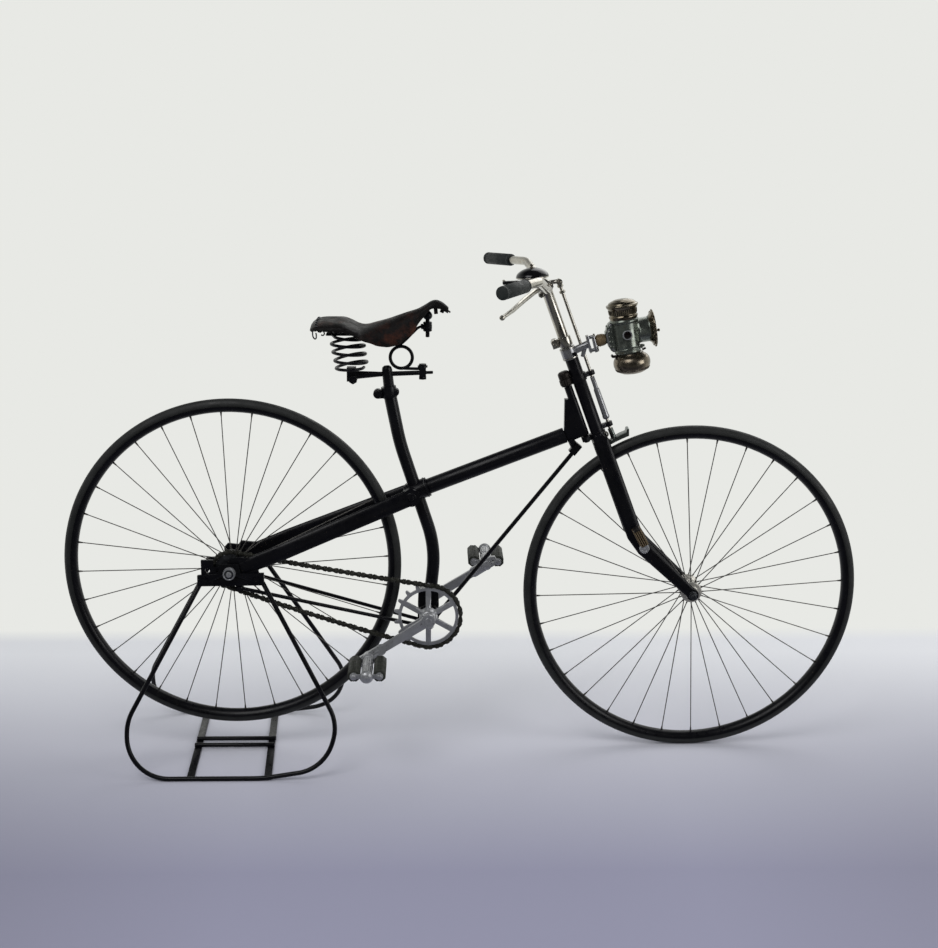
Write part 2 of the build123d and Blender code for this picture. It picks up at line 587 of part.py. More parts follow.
bell = lathe(((0, 0), (0, 34), (3, 34.5), (8, 32.5), (14, 26), (18.5, 16), (21, 6), (21, 3.5), (29, 3.5),
              (29, 0)), (bell_x, bell_y, bell_z), (-0.08, 0, 1))
bell += rod((bell_x, bell_y, bell_z - 20), (bell_x, bell_y, bell_z), 12)
bell += rod((bell_x, bell_y, bell_z - 13), (169, bell_y, 1084), 8)
bell += slab((bell_x - 46, bell_y, bell_z - 11), (34, 11, 8), 3)
bell += rod((bell_x - 32, bell_y, bell_z - 10.5), (bell_x - 8, bell_y, bell_z - 10), 4)
keep("bell", bell - bar)

# ---- lamp ---------------------------------------------------------------------------
lamp_x, lamp_z, lamp_tilt = 358.0, 965.0, 9.0
lamp_at = Pos(lamp_x, 0, lamp_z) * Rot(0, -lamp_tilt, 0)
barrel_z = 6.4                      # level of the lens barrel's middle
jewel_x, jewel_z = 0.6, 4.0         # middle of the side jewels
font_x = 5.6                        # oil font ahead of the body


def lamp_upright(rows, ahead):
    """Solid about an upright line ahead of the body's axis; rows are (height, radius)."""
    return lamp_at * lathe(rows, (ahead, 0, 0), (0, 0, 1))


def lamp_forward(rows):
    """Solid about the lens axis; rows are (distance ahead of the body's axis, radius)."""
    return lamp_at * lathe(rows, (0, 0, barrel_z), (1, 0, 0))


lamp_body = lamp_upright(((-40, 0), (-40, 27), (-37, 29.5), (-34, 28.5), (30, 29.5), (32, 32), (36, 32),
                          (38, 30.5), (43, 32), (47, 30), (51, 32), (55, 30.5), (60, 31.5), (64, 34),
                          (67, 35.5), (69, 35.5), (70, 31), (74, 29), (78, 20), (81, 8), (81, 0)), 0)
lamp_body += lamp_at * cross_bar(jewel_x, jewel_z, -32.5, 32.5, 10.6)
for s in (-1, 1):
    lamp_body -= lamp_at * cross_bar(jewel_x, jewel_z, s * 30, s * 40, 8)
lamp_font = lamp_upright(((-85, 0), (-85, 24), (-80, 33), (-71, 39), (-62, 41), (-53, 39), (-45, 33),
                          (-40.2, 24), (-40.2, 0)), font_x)
lamp_font += lamp_at * (Pos(-26, 0, -43.5) * Box(20, 14, 5))
lamp_front = lamp_forward(((15, 0), (15, 27.5), (52, 27.5), (54, 29.5), (59, 37.5), (61, 40), (65, 40),
                           (65, 35), (60.2, 33.5), (60.2, 0)))
lens = lamp_forward(((60.2, 0), (60.2, 33.2), (62.5, 33.2), (66, 20), (67, 0)))
lamp_front += lamp_at * rod((62, -38, barrel_z), (71, -38, barrel_z), 3)
jewels = [lamp_at * cross_bar(jewel_x, jewel_z, s * 30, s * 34, 7.9) for s in (-1, 1)]
keep("lamp_body", lamp_body)
keep("lamp_font", lamp_font - lamp_body)
keep("lamp_front", lamp_front - lamp_body - lens)
keep("lamp_lens", lens)
keep("lamp_jewels", Compound(children=jewels))
leaf = ((-28, 31), (-34, 31), (-44, 9), (-42.5, -14), (-33, -30), (-27, -30), (-39, -12.5), (-40.5, 8))
bracket = collar + rod((240, 0, 928), (277, 0, 946), 8.5) + rod((264, 0, 917), (269, 0, 943), 5)
for x in (276.5, 289):
    bracket += slab((x, 0, 946), (6, 22, 36), 15)
bracket += rod((271, 0, 958), (285, 0, 961.5), 4) + rod((280, 0, 930), (294, 0, 933.5), 4)
ball = ((-3, 0), (-3, 8), (1, 8), (4, 12), (9, 13), (16, 13), (22, 11), (26, 7), (26, 0))
bracket += lathe(ball, (291, 0, 951), (25, 0, 6))
bracket += lamp_at * plate(leaf, -13, 13)
bracket -= rod(head(-200, rod_p), head(0, rod_p), brake_rod_r)
keep("lamp_bracket", bracket - lamp_body - fork)

# footrests on the fork blades: a pin with a head, and the pad over it
rest_x, rest_z = 402.0, 500.5
rests = []
for side in (-1, 1):
    rest = cross_bar(rest_x, rest_z, side * 40, side * 84, 7)
    rest += slab((rest_x - 8.5, side * 73, rest_z + 23.5), (42, 38, 17), -62)
    rest += cross_bar(rest_x, rest_z, side * 84, side * 91, 10.4)
    rest = rest - fork_blades[0] - fork_blades[1]
    rests.append(max(rest.solids(), key=lambda one: one.volume))
keep("footrests", Compound(children=rests))

# ---- export -------------------------------------------------------------------------
os.makedirs("parts", exist_ok=True)
for name, shape in nodes.items():
    export_step(shape, "parts/" + name + ".step")
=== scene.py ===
"""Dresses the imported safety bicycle: smooth wheels, chain, saddle, lamp and fittings, with
a finish for every surface, on a pale studio floor.

Shapes are built in millimetres in the bicycle's own frame: +X forward, +Z up, and -Y the
chain side, which is the rider's right.
"""
import json
import random
from math import acos, atan2, cos, hypot, pi, radians, sin

import bmesh
import bpy
from mathutils import Matrix, Vector

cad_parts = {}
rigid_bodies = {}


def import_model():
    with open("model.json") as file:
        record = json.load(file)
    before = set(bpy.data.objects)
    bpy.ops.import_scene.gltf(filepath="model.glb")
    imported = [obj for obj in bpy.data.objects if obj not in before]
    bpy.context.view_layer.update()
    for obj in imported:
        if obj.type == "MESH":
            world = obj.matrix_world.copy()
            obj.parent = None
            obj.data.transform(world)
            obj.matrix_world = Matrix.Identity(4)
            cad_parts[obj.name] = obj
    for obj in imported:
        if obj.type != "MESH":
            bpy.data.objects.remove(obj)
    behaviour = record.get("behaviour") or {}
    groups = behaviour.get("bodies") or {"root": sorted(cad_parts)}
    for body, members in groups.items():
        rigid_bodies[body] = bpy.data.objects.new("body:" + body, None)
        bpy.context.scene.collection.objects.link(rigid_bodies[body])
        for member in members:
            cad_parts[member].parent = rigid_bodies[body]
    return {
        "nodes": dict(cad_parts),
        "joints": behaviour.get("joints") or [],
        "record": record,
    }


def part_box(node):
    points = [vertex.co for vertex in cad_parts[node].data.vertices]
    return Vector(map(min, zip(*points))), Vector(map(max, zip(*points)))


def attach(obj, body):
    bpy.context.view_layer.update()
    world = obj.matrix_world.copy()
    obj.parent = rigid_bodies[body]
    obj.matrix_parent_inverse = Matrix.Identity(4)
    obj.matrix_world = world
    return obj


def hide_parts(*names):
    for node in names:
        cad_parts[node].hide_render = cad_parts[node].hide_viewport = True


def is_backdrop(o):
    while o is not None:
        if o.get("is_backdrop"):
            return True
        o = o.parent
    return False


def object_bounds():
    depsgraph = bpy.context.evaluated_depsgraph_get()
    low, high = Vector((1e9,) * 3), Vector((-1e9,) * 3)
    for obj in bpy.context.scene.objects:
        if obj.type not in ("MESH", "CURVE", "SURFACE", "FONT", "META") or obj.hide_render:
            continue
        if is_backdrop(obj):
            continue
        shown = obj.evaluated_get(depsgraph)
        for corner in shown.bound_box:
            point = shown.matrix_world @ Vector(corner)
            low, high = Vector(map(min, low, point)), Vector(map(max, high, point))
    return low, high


bl_info = {
    "name": "Cross-frame Safety Bicycle",
    "version": (1, 0, 0),
    "blender": (4, 5, 0),
    "location": "View3D > Sidebar > Bicycle",
    "description": "Dresses the packed safety bicycle and its display stand",
    "category": "Object",
}

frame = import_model()
cad_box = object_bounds()
MM = 0.001
CAD_FINISH = {one["node"]: one["material_slot"] for one in frame["record"]["subparts"]}


def low(node):
    """A node's lowest corner, in millimetres."""
    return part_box(node)[0] / MM


def high(node):
    """A node's highest corner, in millimetres."""
    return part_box(node)[1] / MM


def joint_place(name):
    """A joint's point, in millimetres."""
    return next(Vector(j["pos_m"]) / MM for j in frame["joints"] if j["name"] == name)


front_axle, rear_axle = joint_place("front_wheel_spin"), joint_place("rear_wheel_spin")
crank_axle = joint_place("crank_spin")
steer_point = joint_place("steering_turn")
wheel_r = (high("front_tyre").z - low("front_tyre").z) / 2
TYRE_R = 13.5          # the round tyre's section
steer_axis = next(Vector(j["axis"]) for j in frame["joints"] if j["name"] == "steering_turn")
steer_ahead = Vector((0, 1, 0)).cross(steer_axis).normalized()
COLUMN = 26.5          # the steering column ahead of the steering axis


def head(u, p, y=0.0):
    """Point u below the top of the head casting along the steering axis, and p ahead."""
    return steer_point - steer_axis * u + steer_ahead * p + Vector((0, y, 0))


def around(count, offset=0.0):
    """Angles of places spread evenly round a circle."""
    return [2 * pi * (k + offset) / count for k in range(count)]


# ---- shapes -------------------------------------------------------------------------
HEX = 1.732            # a hexagon's width across its flats over the radius of its corners
SHARP = radians(40)    # an edge that turns further than this is rounded


class Shape:
    """A mesh being built in millimetres."""

    def __init__(self):
        self.bm = bmesh.new()

    def spun(self, rows, at, axis=(0, 1, 0), steps=48, closed=False):
        """Turns rows of (along, radius) about an axle through a point."""
        along, at = Vector(axis).normalized(), Vector(at)
        side = along.orthogonal().normalized()
        verts = [self.bm.verts.new(at + along * a + side * r) for a, r in rows]
        edges = [self.bm.edges.new(pair) for pair in zip(verts, verts[1:])]
        if closed:
            edges.append(self.bm.edges.new((verts[-1], verts[0])))
        bmesh.ops.spin(self.bm, geom=verts + edges, cent=at, axis=along, angle=2 * pi,
                       steps=steps, use_merge=True, use_duplicate=False)

    def bar(self, p, q, r, r2=None, sides=24):
        """Round or tapered bar between two points."""
        p, q = Vector(p), Vector(q)
        turn = (q - p).to_track_quat("Z", "Y").to_matrix().to_4x4()
        place = Matrix.Translation((p + q) / 2) @ turn
        made = bmesh.ops.create_cone(self.bm, cap_ends=True, segments=sides, radius1=r,
                                     radius2=r if r2 is None else r2, depth=(q - p).length, matrix=place)
        return made["verts"]

    def nut(self, p, q, across, chamfer=0.6):
        """Hexagonal nut or bolt head between two points."""
        self.soften(self.bar(p, q, across / HEX, sides=6), chamfer)

    def ball(self, at, size, sides=24):
        """Ball, or an oval with three radii."""
        radii = size if hasattr(size, "__len__") else (size,) * 3
        bmesh.ops.create_uvsphere(self.bm, u_segments=sides, v_segments=sides // 2, radius=1,
                                  matrix=Matrix.Translation(at) @ Matrix.Diagonal((*radii, 1)))

    def block(self, at, size, turn=None, chamfer=0.8):
        """Box with softened edges; turn is a rotation matrix."""
        place = Matrix.Translation(at) @ (turn or Matrix()) @ Matrix.Diagonal((*size, 1))
        made = bmesh.ops.create_cube(self.bm, size=1, matrix=place)
        self.soften(made["verts"], chamfer)

    def prism(self, outline, y0, y1, chamfer=0.6):
        """Plate with an outline of (x, z) corners, from y0 to y1."""
        verts = [self.bm.verts.new((x, y0, z)) for x, z in outline]
        face = self.bm.faces.new(verts)
        made = bmesh.ops.extrude_face_region(self.bm, geom=[face], use_keep_orig=True)
        top = [v for v in made["geom"] if isinstance(v, bmesh.types.BMVert)]
        bmesh.ops.translate(self.bm, vec=(0, y1 - y0, 0), verts=top)
        if chamfer:
            self.soften(verts + top, chamfer)

    def soften(self, verts, width):
        """Rounds the sharp edges among these vertices."""
        edges = dict.fromkeys(e for v in verts for e in v.link_edges)
        sharp = [e for e in edges if e.is_manifold and e.calc_face_angle(0) > SHARP]
        bmesh.ops.bevel(self.bm, geom=sharp, offset=width, segments=2, profile=0.5,
                        affect="EDGES", clamp_overlap=True, material=-1)

    def tube(self, points, radius, closed=False, sides=12, steps=8):
        """Round rod of one radius along a smooth route."""
        curve = bpy.data.curves.new("route", "CURVE")
        curve.dimensions = "3D"
        curve.bevel_depth = 1.0
        curve.bevel_resolution = max(0, sides // 2 - 2)
        curve.use_fill_caps = not closed
        spline = curve.splines.new("BEZIER")
        spline.bezier_points.add(len(points) - 1)
        for knot, co in zip(spline.bezier_points, points):
            knot.co, knot.radius = co, radius
            knot.handle_left_type = knot.handle_right_type = "AUTO"
        spline.resolution_u = steps
        spline.use_cyclic_u = closed
        holder = bpy.data.objects.new("route", curve)
        mesh = bpy.data.meshes.new_from_object(holder)
        self.bm.from_mesh(mesh)
        for data, store in ((holder, bpy.data.objects), (curve, bpy.data.curves), (mesh, bpy.data.meshes)):
            store.remove(data)

    def transform(self, place):
        """Moves the whole shape by a matrix."""
        bmesh.ops.transform(self.bm, matrix=place, verts=self.bm.verts)

    def piece(self, name, body, finish, replaces=(), sharp=38.0):
        """Ends the shape: a named object that rides on a body and has a finish."""
        bmesh.ops.remove_doubles(self.bm, verts=self.bm.verts, dist=0.0005)
        bmesh.ops.recalc_face_normals(self.bm, faces=self.bm.faces)
        bmesh.ops.scale(self.bm, vec=(MM, MM, MM), verts=self.bm.verts)
        mesh = bpy.data.meshes.new(name)
        self.bm.to_mesh(mesh)
        self.bm.free()
        mesh.shade_smooth()
        mesh.set_sharp_from_angle(angle=radians(sharp))
        obj = bpy.data.objects.new(name, mesh)
        bpy.context.scene.collection.objects.link(obj)
        mesh.materials.append(FINISHES[finish]())
        SLOTS.get(finish, finish)
        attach(obj, body)
        if replaces:
            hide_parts(*replaces)
        return obj


# ---- finishes -----------------------------------------------------------------------
def srgb(red, green, blue):
    """Linear colour from the 0 to 255 values that a screen shows."""
    def linear(c):
        c /= 255
        return c / 12.92 if c <= 0.04045 else ((c + 0.055) / 1.055) ** 2.4
    return (linear(red), linear(green), linear(blue), 1.0)


class Wiring:
    """Adds nodes to a node tree and links them."""

    def __init__(self, tree):
        self.tree = tree

    def add(self, kind, inputs=None, **settings):
        """New node; an input is given a value, or is linked where it is given a socket."""
        node = self.tree.nodes.new(kind)
        for key, value in settings.items():
            setattr(node, key, value)
        for key, value in (inputs or {}).items():
            if isinstance(value, bpy.types.NodeSocket):
                self.tree.links.new(value, node.inputs[key])
            else:
                node.inputs[key].default_value = value
        return node

    def band(self, value, start, end, to_low=0.0, to_high=1.0):
        """Value brought from start..end to to_low..to_high, and held there."""
        return self.add("ShaderNodeMapRange", {"Value": value, "From Min": start, "From Max": end,
                                               "To Min": to_low, "To Max": to_high}).outputs[0]

    def times(self, a, b):
        return self.add("ShaderNodeMath", {0: a, 1: b}, operation="MULTIPLY").outputs[0]

    def most(self, a, b):
        return self.add("ShaderNodeMath", {0: a, 1: b}, operation="MAXIMUM").outputs[0]

    def mix(self, share, a, b):
        """Colour that goes from a to b as share goes from 0 to 1."""
        return self.add("ShaderNodeMix", {0: share, 6: a, 7: b}, data_type="RGBA").outputs[2]


class Finish(Wiring):
    """A material being wired round its shader."""

    def __init__(self, name, metal=0.0, **sockets):
        self.material = bpy.data.materials.new(name)
        self.material.use_nodes = True
        super().__init__(self.material.node_tree)
        self.shader = self.tree.nodes["Principled BSDF"]
        self.shader.inputs["Metallic"].default_value = metal
        for socket, value in sockets.items():
            self.shader.inputs[socket.replace("_", " ")].default_value = value
        self.place = self.add("ShaderNodeTexCoord").outputs["Object"]

    def noise(self, scale, detail=3.0, rough=0.5, stretch=None):
        """Cloudy pattern from 0 to 1; scale is in repeats a metre."""
        place = self.place
        if stretch:
            place = self.add("ShaderNodeMapping", {"Vector": place, "Scale": stretch}).outputs[0]
        return self.add("ShaderNodeTexNoise", {"Vector": place, "Scale": scale, "Detail": detail,
                                               "Roughness": rough}).outputs["Fac"]

    def cells(self, scale):
        """Distance to the nearest of scattered points."""
        return self.add("ShaderNodeTexVoronoi", {"Vector": self.place, "Scale": scale}).outputs["Distance"]

    def bump(self, height, strength, depth):
        """Relief; depth is in metres."""
        node = self.add("ShaderNodeBump", {"Height": height, "Strength": strength, "Distance": depth})
        self.tree.links.new(node.outputs[0], self.shader.inputs["Normal"])

    def done(self, colour, rough):
        self.tree.links.new(colour, self.shader.inputs["Base Color"])
        self.tree.links.new(rough, self.shader.inputs["Roughness"])
        return self.material


FINISHES = {}


def material(make):
    """Lists a material under its function's name; the function runs once, when it is first asked for."""
    kept = []

    def get():
        if not kept:
            kept.append(make())
        return kept[0]
    FINISHES[make.__name__] = get
    return get


def colours():
    """The colours that a user may change."""
    return bpy.context.scene.bicycle_colours


def shade(colour, factor):
    """Colour made darker or lighter."""
    return (*(c * factor for c in colour[:3]), 1.0)


@material
def enamel():
    """Old stove enamel: deep gloss, faint clouding, dust and a few chips."""
    f = Finish("stove enamel", Specular_IOR_Level=0.2)
    base, dust_grey, primer = colours().enamel, srgb(74, 74, 72), srgb(96, 84, 72)
    cloud = f.noise(14, 4)
    dust = f.band(f.noise(160, 6, 0.7), 0.58, 0.82, 0, 0.12)
    chips = f.band(f.noise(420, 2), 0.735, 0.76)
    colour = f.mix(f.band(cloud, 0.35, 0.7), base, shade(base, 1.9))
    colour = f.mix(dust, colour, dust_grey)
    colour = f.mix(f.times(chips, 0.7), colour, primer)
    f.bump(f.noise(300, 3), 0.05, 0.0006)
    return f.done(colour, f.band(f.noise(60, 5, 0.65), 0.3, 0.75, 0.22, 0.44))


@material
def tyre():
    """Solid rubber, grey with patches of dust, with fine cracks."""
    f = Finish("solid rubber tyre", Specular_IOR_Level=0.35)
    base = colours().tyre
    dust = f.band(f.noise(26, 6, 0.7), 0.45, 0.75, 0, 0.5)
    colour = f.mix(dust, base, shade(base, 2.4))
    cracks = f.band(f.cells(260), 0.0, 0.05)
    f.bump(f.times(f.noise(500, 4), cracks), 0.25, 0.0008)
    return f.done(colour, f.band(f.noise(40, 4), 0.3, 0.7, 0.45, 0.68))


def metal(name, base, dark, rough, stain=0.5, brown=None, shine=1.0, scratch=0.06):
    """Bare or plated metal: dark stains, fine scratches and brown spots; rough is lowest and highest."""
    f = Finish(name, metal=shine)
    patches = f.band(f.noise(34, 6, 0.68), 0.4, 0.72, 0, stain)
    colour = f.mix(patches, base, dark)
    if brown:
        spots = f.band(f.noise(150, 5, 0.75), 0.56, 0.68)
        colour = f.mix(f.times(spots, f.band(f.noise(22, 2), 0.4, 0.6, 0, 0.85)), colour, brown)
    scratches = f.noise(900, 2, 0.5, (1.0, 6.0, 1.0))
    f.bump(scratches, scratch, 0.0003)
    return f.done(colour, f.band(f.noise(75, 5, 0.7), 0.3, 0.72, *rough))


@material
def spoke_steel():
    base = colours().spoke
    return metal("spoke wire", base, shade(base, 0.45), (0.35, 0.6), stain=0.7, brown=srgb(70, 52, 40))


@material
def chain_steel():
    """Oily steel with old brown rust."""
    base = colours().chain
    return metal("oiled chain steel", base, shade(base, 0.3), (0.3, 0.55), stain=0.8,
                 brown=srgb(46, 36, 26), shine=0.75)


@material
def nickel():
    """Nickel plate gone thin: brassy and dark patches."""
    base = colours().nickel
    return metal("worn nickel plate", base, shade(base, 0.42), (0.12, 0.36), stain=0.6,
                 brown=srgb(150, 118, 74), scratch=0.03)


@material
def dull_nickel():
    """Lamp bracket and brake sleeve, whose plating has lost its shine."""
    base = colours().steel
    return metal("dull nickel plate", shade(base, 0.7), shade(base, 0.32), (0.2, 0.42), stain=0.55, shine=0.8)


@material
def hub_plate():
    """Front hub, pale and dulled all over."""
    base = colours().nickel
    return metal("dulled hub plate", base, shade(base, 0.45), (0.26, 0.46), shine=0.6)


@material
def lamp_nickel():
    """Lamp plating, worn through to warm brass."""
    base = colours().lamp
    return metal("lamp plating", base, shade(base, 0.42), (0.16, 0.42), stain=0.75,
                 brown=srgb(96, 78, 50), shine=0.9)


@material
def lamp_brass():
    """Chimney and lens rim, where most of the plating has gone."""
    base = colours().brass
    return metal("worn lamp brass", base, shade(base, 0.26), (0.1, 0.36), stain=0.9, brown=srgb(84, 60, 40))


@material
def font_plate():
    """Oil font, its plating warmer and duller than the body's."""
    base = colours().font
    return metal("worn font plating", base, shade(base, 0.32), (0.14, 0.42), stain=0.8,
                 brown=srgb(84, 62, 44))


@material
def bronzed():
    """Head cap and footrests, browned all over."""
    base = colours().bronze
    return metal("browned brass", base, shade(base, 0.4), (0.34, 0.6), stain=0.7, shine=0.7)


@material
def pad_brass():
    """Footrest ridges and the lamp's ball joint, dull olive brown."""
    base = colours().pad
    return metal("dull footrest brass", base, shade(base, 0.45), (0.4, 0.62), stain=0.7, shine=0.45)


@material
def bright_steel():
    """Forged steel rubbed bright, with grey stains."""
    base = colours().steel
    return metal("bare forged steel", base, shade(base, 0.5), (0.26, 0.5), brown=srgb(88, 80, 74), shine=0.75)


@material
def dark_steel():
    """Machined nuts, sprocket and tacks gone grey."""
    return metal("dark machined steel", srgb(92, 94, 98), srgb(34, 34, 36), (0.3, 0.55), stain=0.7)


@material
def spoon_steel():
    """Brake spoon, dark with a greenish skin."""
    return metal("dull spoon steel", srgb(112, 118, 114), srgb(40, 44, 44), (0.2, 0.46), stain=0.6)


@material
def bell_steel():
    """Black japanned dome."""
    f = Finish("black bell dome", Specular_IOR_Level=0.35)
    colour = f.mix(f.band(f.noise(30, 4), 0.4, 0.7), srgb(6, 6, 7), srgb(20, 20, 22))
    return f.done(colour, f.band(f.noise(80, 4), 0.3, 0.7, 0.08, 0.2))


def rubber(name, base, grain, depth):
    """Dusty moulded rubber; grain is in repeats a metre, and its depth in metres."""
    f = Finish(name, Specular_IOR_Level=0.3)
    dust = f.band(f.noise(70, 6, 0.7), 0.45, 0.75, 0, 0.45)
    f.bump(f.noise(grain, 3), 0.35, depth)
    return f.done(f.mix(dust, base, shade(base, 2.0)), f.band(f.noise(120, 3), 0.3, 0.7, 0.5, 0.75))


@material
def grip_rubber():
    return rubber("grip rubber", colours().grip, 700, 0.0005)


@material
def pedal_rubber():
    return rubber("pedal rubber", colours().pedal, 500, 0.0006)


@material
def leather():
    """Black hide rubbed to red brown, with grain and creases."""
    f = Finish("saddle leather", Specular_IOR_Level=0.12)
    base, rubbed_brown = colours().leather, srgb(66, 34, 22)
    wear = f.band(f.noise(24, 5, 0.65), 0.5, 0.7)
    high_wear = f.times(wear, f.band(f.noise(8, 2), 0.4, 0.62))
    colour = f.mix(f.band(f.noise(60, 4), 0.4, 0.7), base, shade(base, 1.8))
    colour = f.mix(high_wear, colour, rubbed_brown)
    pores = f.band(f.cells(950), 0.05, 0.45)
    creases = f.noise(120, 6, 0.7, (0.6, 1.6, 1.0))
    f.bump(f.times(pores, creases), 0.5, 0.0009)
    return f.done(colour, f.band(f.noise(55, 5), 0.35, 0.7, 0.34, 0.6))


@material
def lens_glass():
    f = Finish("pressed glass", Transmission_Weight=0.9, IOR=1.5)
    return f.done(f.mix(f.noise(40), srgb(196, 206, 196), srgb(222, 228, 216)),
                  f.band(f.noise(80), 0.3, 0.7, 0.04, 0.16))


@material
def jewel_glass():
    f = Finish("jewel glass", Specular_IOR_Level=0.3)
    return f.done(f.mix(f.noise(120), srgb(4, 5, 5), srgb(16, 6, 7)),
                  f.band(f.noise(90), 0.3, 0.7, 0.05, 0.14))


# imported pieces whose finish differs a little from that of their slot
NODE_FINISHES = {"brake_spoon": "spoon_steel", "lamp_bracket": "dull_nickel"}
# finishes that differ a little from the slot that they belong to
SLOTS = {"lamp_brass": "lamp_nickel", "font_plate": "lamp_nickel", "pad_brass": "bronzed",
         "dull_nickel": "nickel", "hub_plate": "nickel"}


# ---- what a user may change ---------------------------------------------------------
def paint(name, note, red, green, blue):
    """Colour property, from the 0 to 255 values that a screen shows."""
    return bpy.props.FloatVectorProperty(name=name, description=note, subtype="COLOR", size=4,
                                         min=0.0, max=1.0, default=srgb(red, green, blue))


class BicycleColours(bpy.types.PropertyGroup):
    enamel: paint("Enamel", "Frame and fork paint", 6, 6, 9)
    tyre: paint("Tyres", "Solid rubber", 27, 28, 27)
    spoke: paint("Spokes", "Drawn wire", 112, 110, 106)
    chain: paint("Chain", "Blocks and side plates", 64, 64, 58)
    nickel: paint("Nickel", "Bars, front hub and fittings", 186, 183, 174)
    lamp: paint("Lamp", "Lamp body and lens barrel", 122, 128, 120)
    font: paint("Font", "Oil font", 128, 119, 105)
    brass: paint("Lamp brass", "Chimney and lens rim", 128, 120, 104)
    bronze: paint("Browned brass", "Head cap and footrest pads", 40, 35, 32)
    pad: paint("Dull brass", "Ridges of the footrests and ball joint of the lamp", 108, 92, 66)
    steel: paint("Bare steel", "Cranks, chain wheel and lamp bracket", 174, 175, 177)
    grip: paint("Grips", "Handlebar grips", 30, 34, 33)
    pedal: paint("Pedals", "Pedal blocks", 40, 42, 36)
    leather: paint("Leather", "Saddle hide", 13, 11, 11)
    floor: paint("Floor", "Studio floor near the camera", 146, 145, 164)
    floor_far: paint("Far floor", "Studio floor at the backdrop", 226, 226, 227)
    backdrop: paint("Backdrop", "Studio backdrop", 232, 233, 229)
    room: paint("Room", "Room in front of the bicycle, seen in reflections", 34, 35, 37)


def size(name, note, value, **limits):
    """Size property."""
    return bpy.props.FloatProperty(name=name, description=note, default=value, **limits)


class BicycleSizes(bpy.types.PropertyGroup):
    lens: size("Lens", "Focal length of the camera, in mm", 58.28, min=10)
    spoke: size("Spoke radius", "In mm", 1.15, min=0.5)
    edge: size("Edge rounding", "Rounding of the frame's sharp edges, in mm", 0.6, min=0)
    key: size("Key light", "Power of the main light, in W", 62, min=0)
    fill: size("Fill light", "Power of the soft light, in W", 30, min=0)


class Dresser:
    """What every operator here shares."""
    bl_options = {"REGISTER"}

    def execute(self, context):
        self.make(context)
        return {"FINISHED"}


# ---- stage --------------------------------------------------------------------------
CAMERA_AT = (-0.07305, -3.35488, 1.44626)
CAMERA_PITCH, CAMERA_YAW, CAMERA_ROLL = 13.34, 1.48, 0.28     # degrees: down, right, roll
SENSOR = 36               # the camera's width, in mm
FLOOR_SIZE = 14           # metres to each edge
# where the floor changes, in metres along Y or out along X
FLOOR_END = (0.72, 0.82)              # gives way to the backdrop, on the far side
FLOOR_DARKENS = (0.62, -0.62)         # from its far colour to its near one
FLOOR_PALES = (-1.7, -1.0)            # from its far colour, in front of the camera, to its near one
FLOOR_FADES_IN_FRONT, FLOOR_FADES_ASIDE = (-1.3, -2.3), (1.6, 2.6)
LIGHTS_AIM = Vector((0, 0, 0.6))


def seen_rays(wiring):
    """1 for camera, glossy and transmission rays, which see the backdrop; 0 for lighting."""
    rays = wiring.add("ShaderNodeLightPath").outputs
    return wiring.most(wiring.most(rays["Is Camera Ray"], rays["Is Glossy Ray"]), rays["Is Transmission Ray"])


def floor_finish():
    """Grey-lilac floor that pales away from the front and gives way to the backdrop all round; in front, its
    sides are darkened with painted shade.
    """
    f = Finish("studio floor", Specular_IOR_Level=0.1)
    place = f.add("ShaderNodeSeparateXYZ", {0: f.place})
    depth = place.outputs["Y"]
    aside = f.add("ShaderNodeMath", {0: place.outputs["X"]}, operation="ABSOLUTE").outputs[0]
    near = f.times(f.band(depth, *FLOOR_DARKENS), f.band(depth, *FLOOR_PALES))
    colour = f.mix(near, colours().floor_far, colours().floor)
    # painted shade: in front, the floor darkens to grey towards its sides
    painted_side_shade = f.times(f.band(aside, 0.45, 1.2, 0.0, 0.6), f.times(f.band(depth, 0.7, 0.0), near))
    colour = f.mix(painted_side_shade, colour, srgb(118, 117, 128))
    glossy = f.add("ShaderNodeLightPath").outputs["Is Glossy Ray"]
    dark = f.times(glossy, f.band(depth, 0.1, -0.7, 0.0, 0.85))
    f.done(f.mix(dark, colour, colours().room), f.band(f.noise(2.0), 0.3, 0.7, 0.85, 0.95))
    plain = f.add("ShaderNodeEmission", {"Color": f.mix(dark, colours().backdrop, colours().room),
                                         "Strength": 1.0})
    beyond = f.most(f.band(depth, *FLOOR_END),
                    f.most(f.band(depth, *FLOOR_FADES_IN_FRONT), f.band(aside, *FLOOR_FADES_ASIDE)))
    mixed = f.add("ShaderNodeMixShader", {0: f.times(beyond, seen_rays(f)),
                                          1: f.shader.outputs[0], 2: plain.outputs[0]})
    f.tree.links.new(mixed.outputs[0], f.tree.nodes["Material Output"].inputs["Surface"])
    return f.material


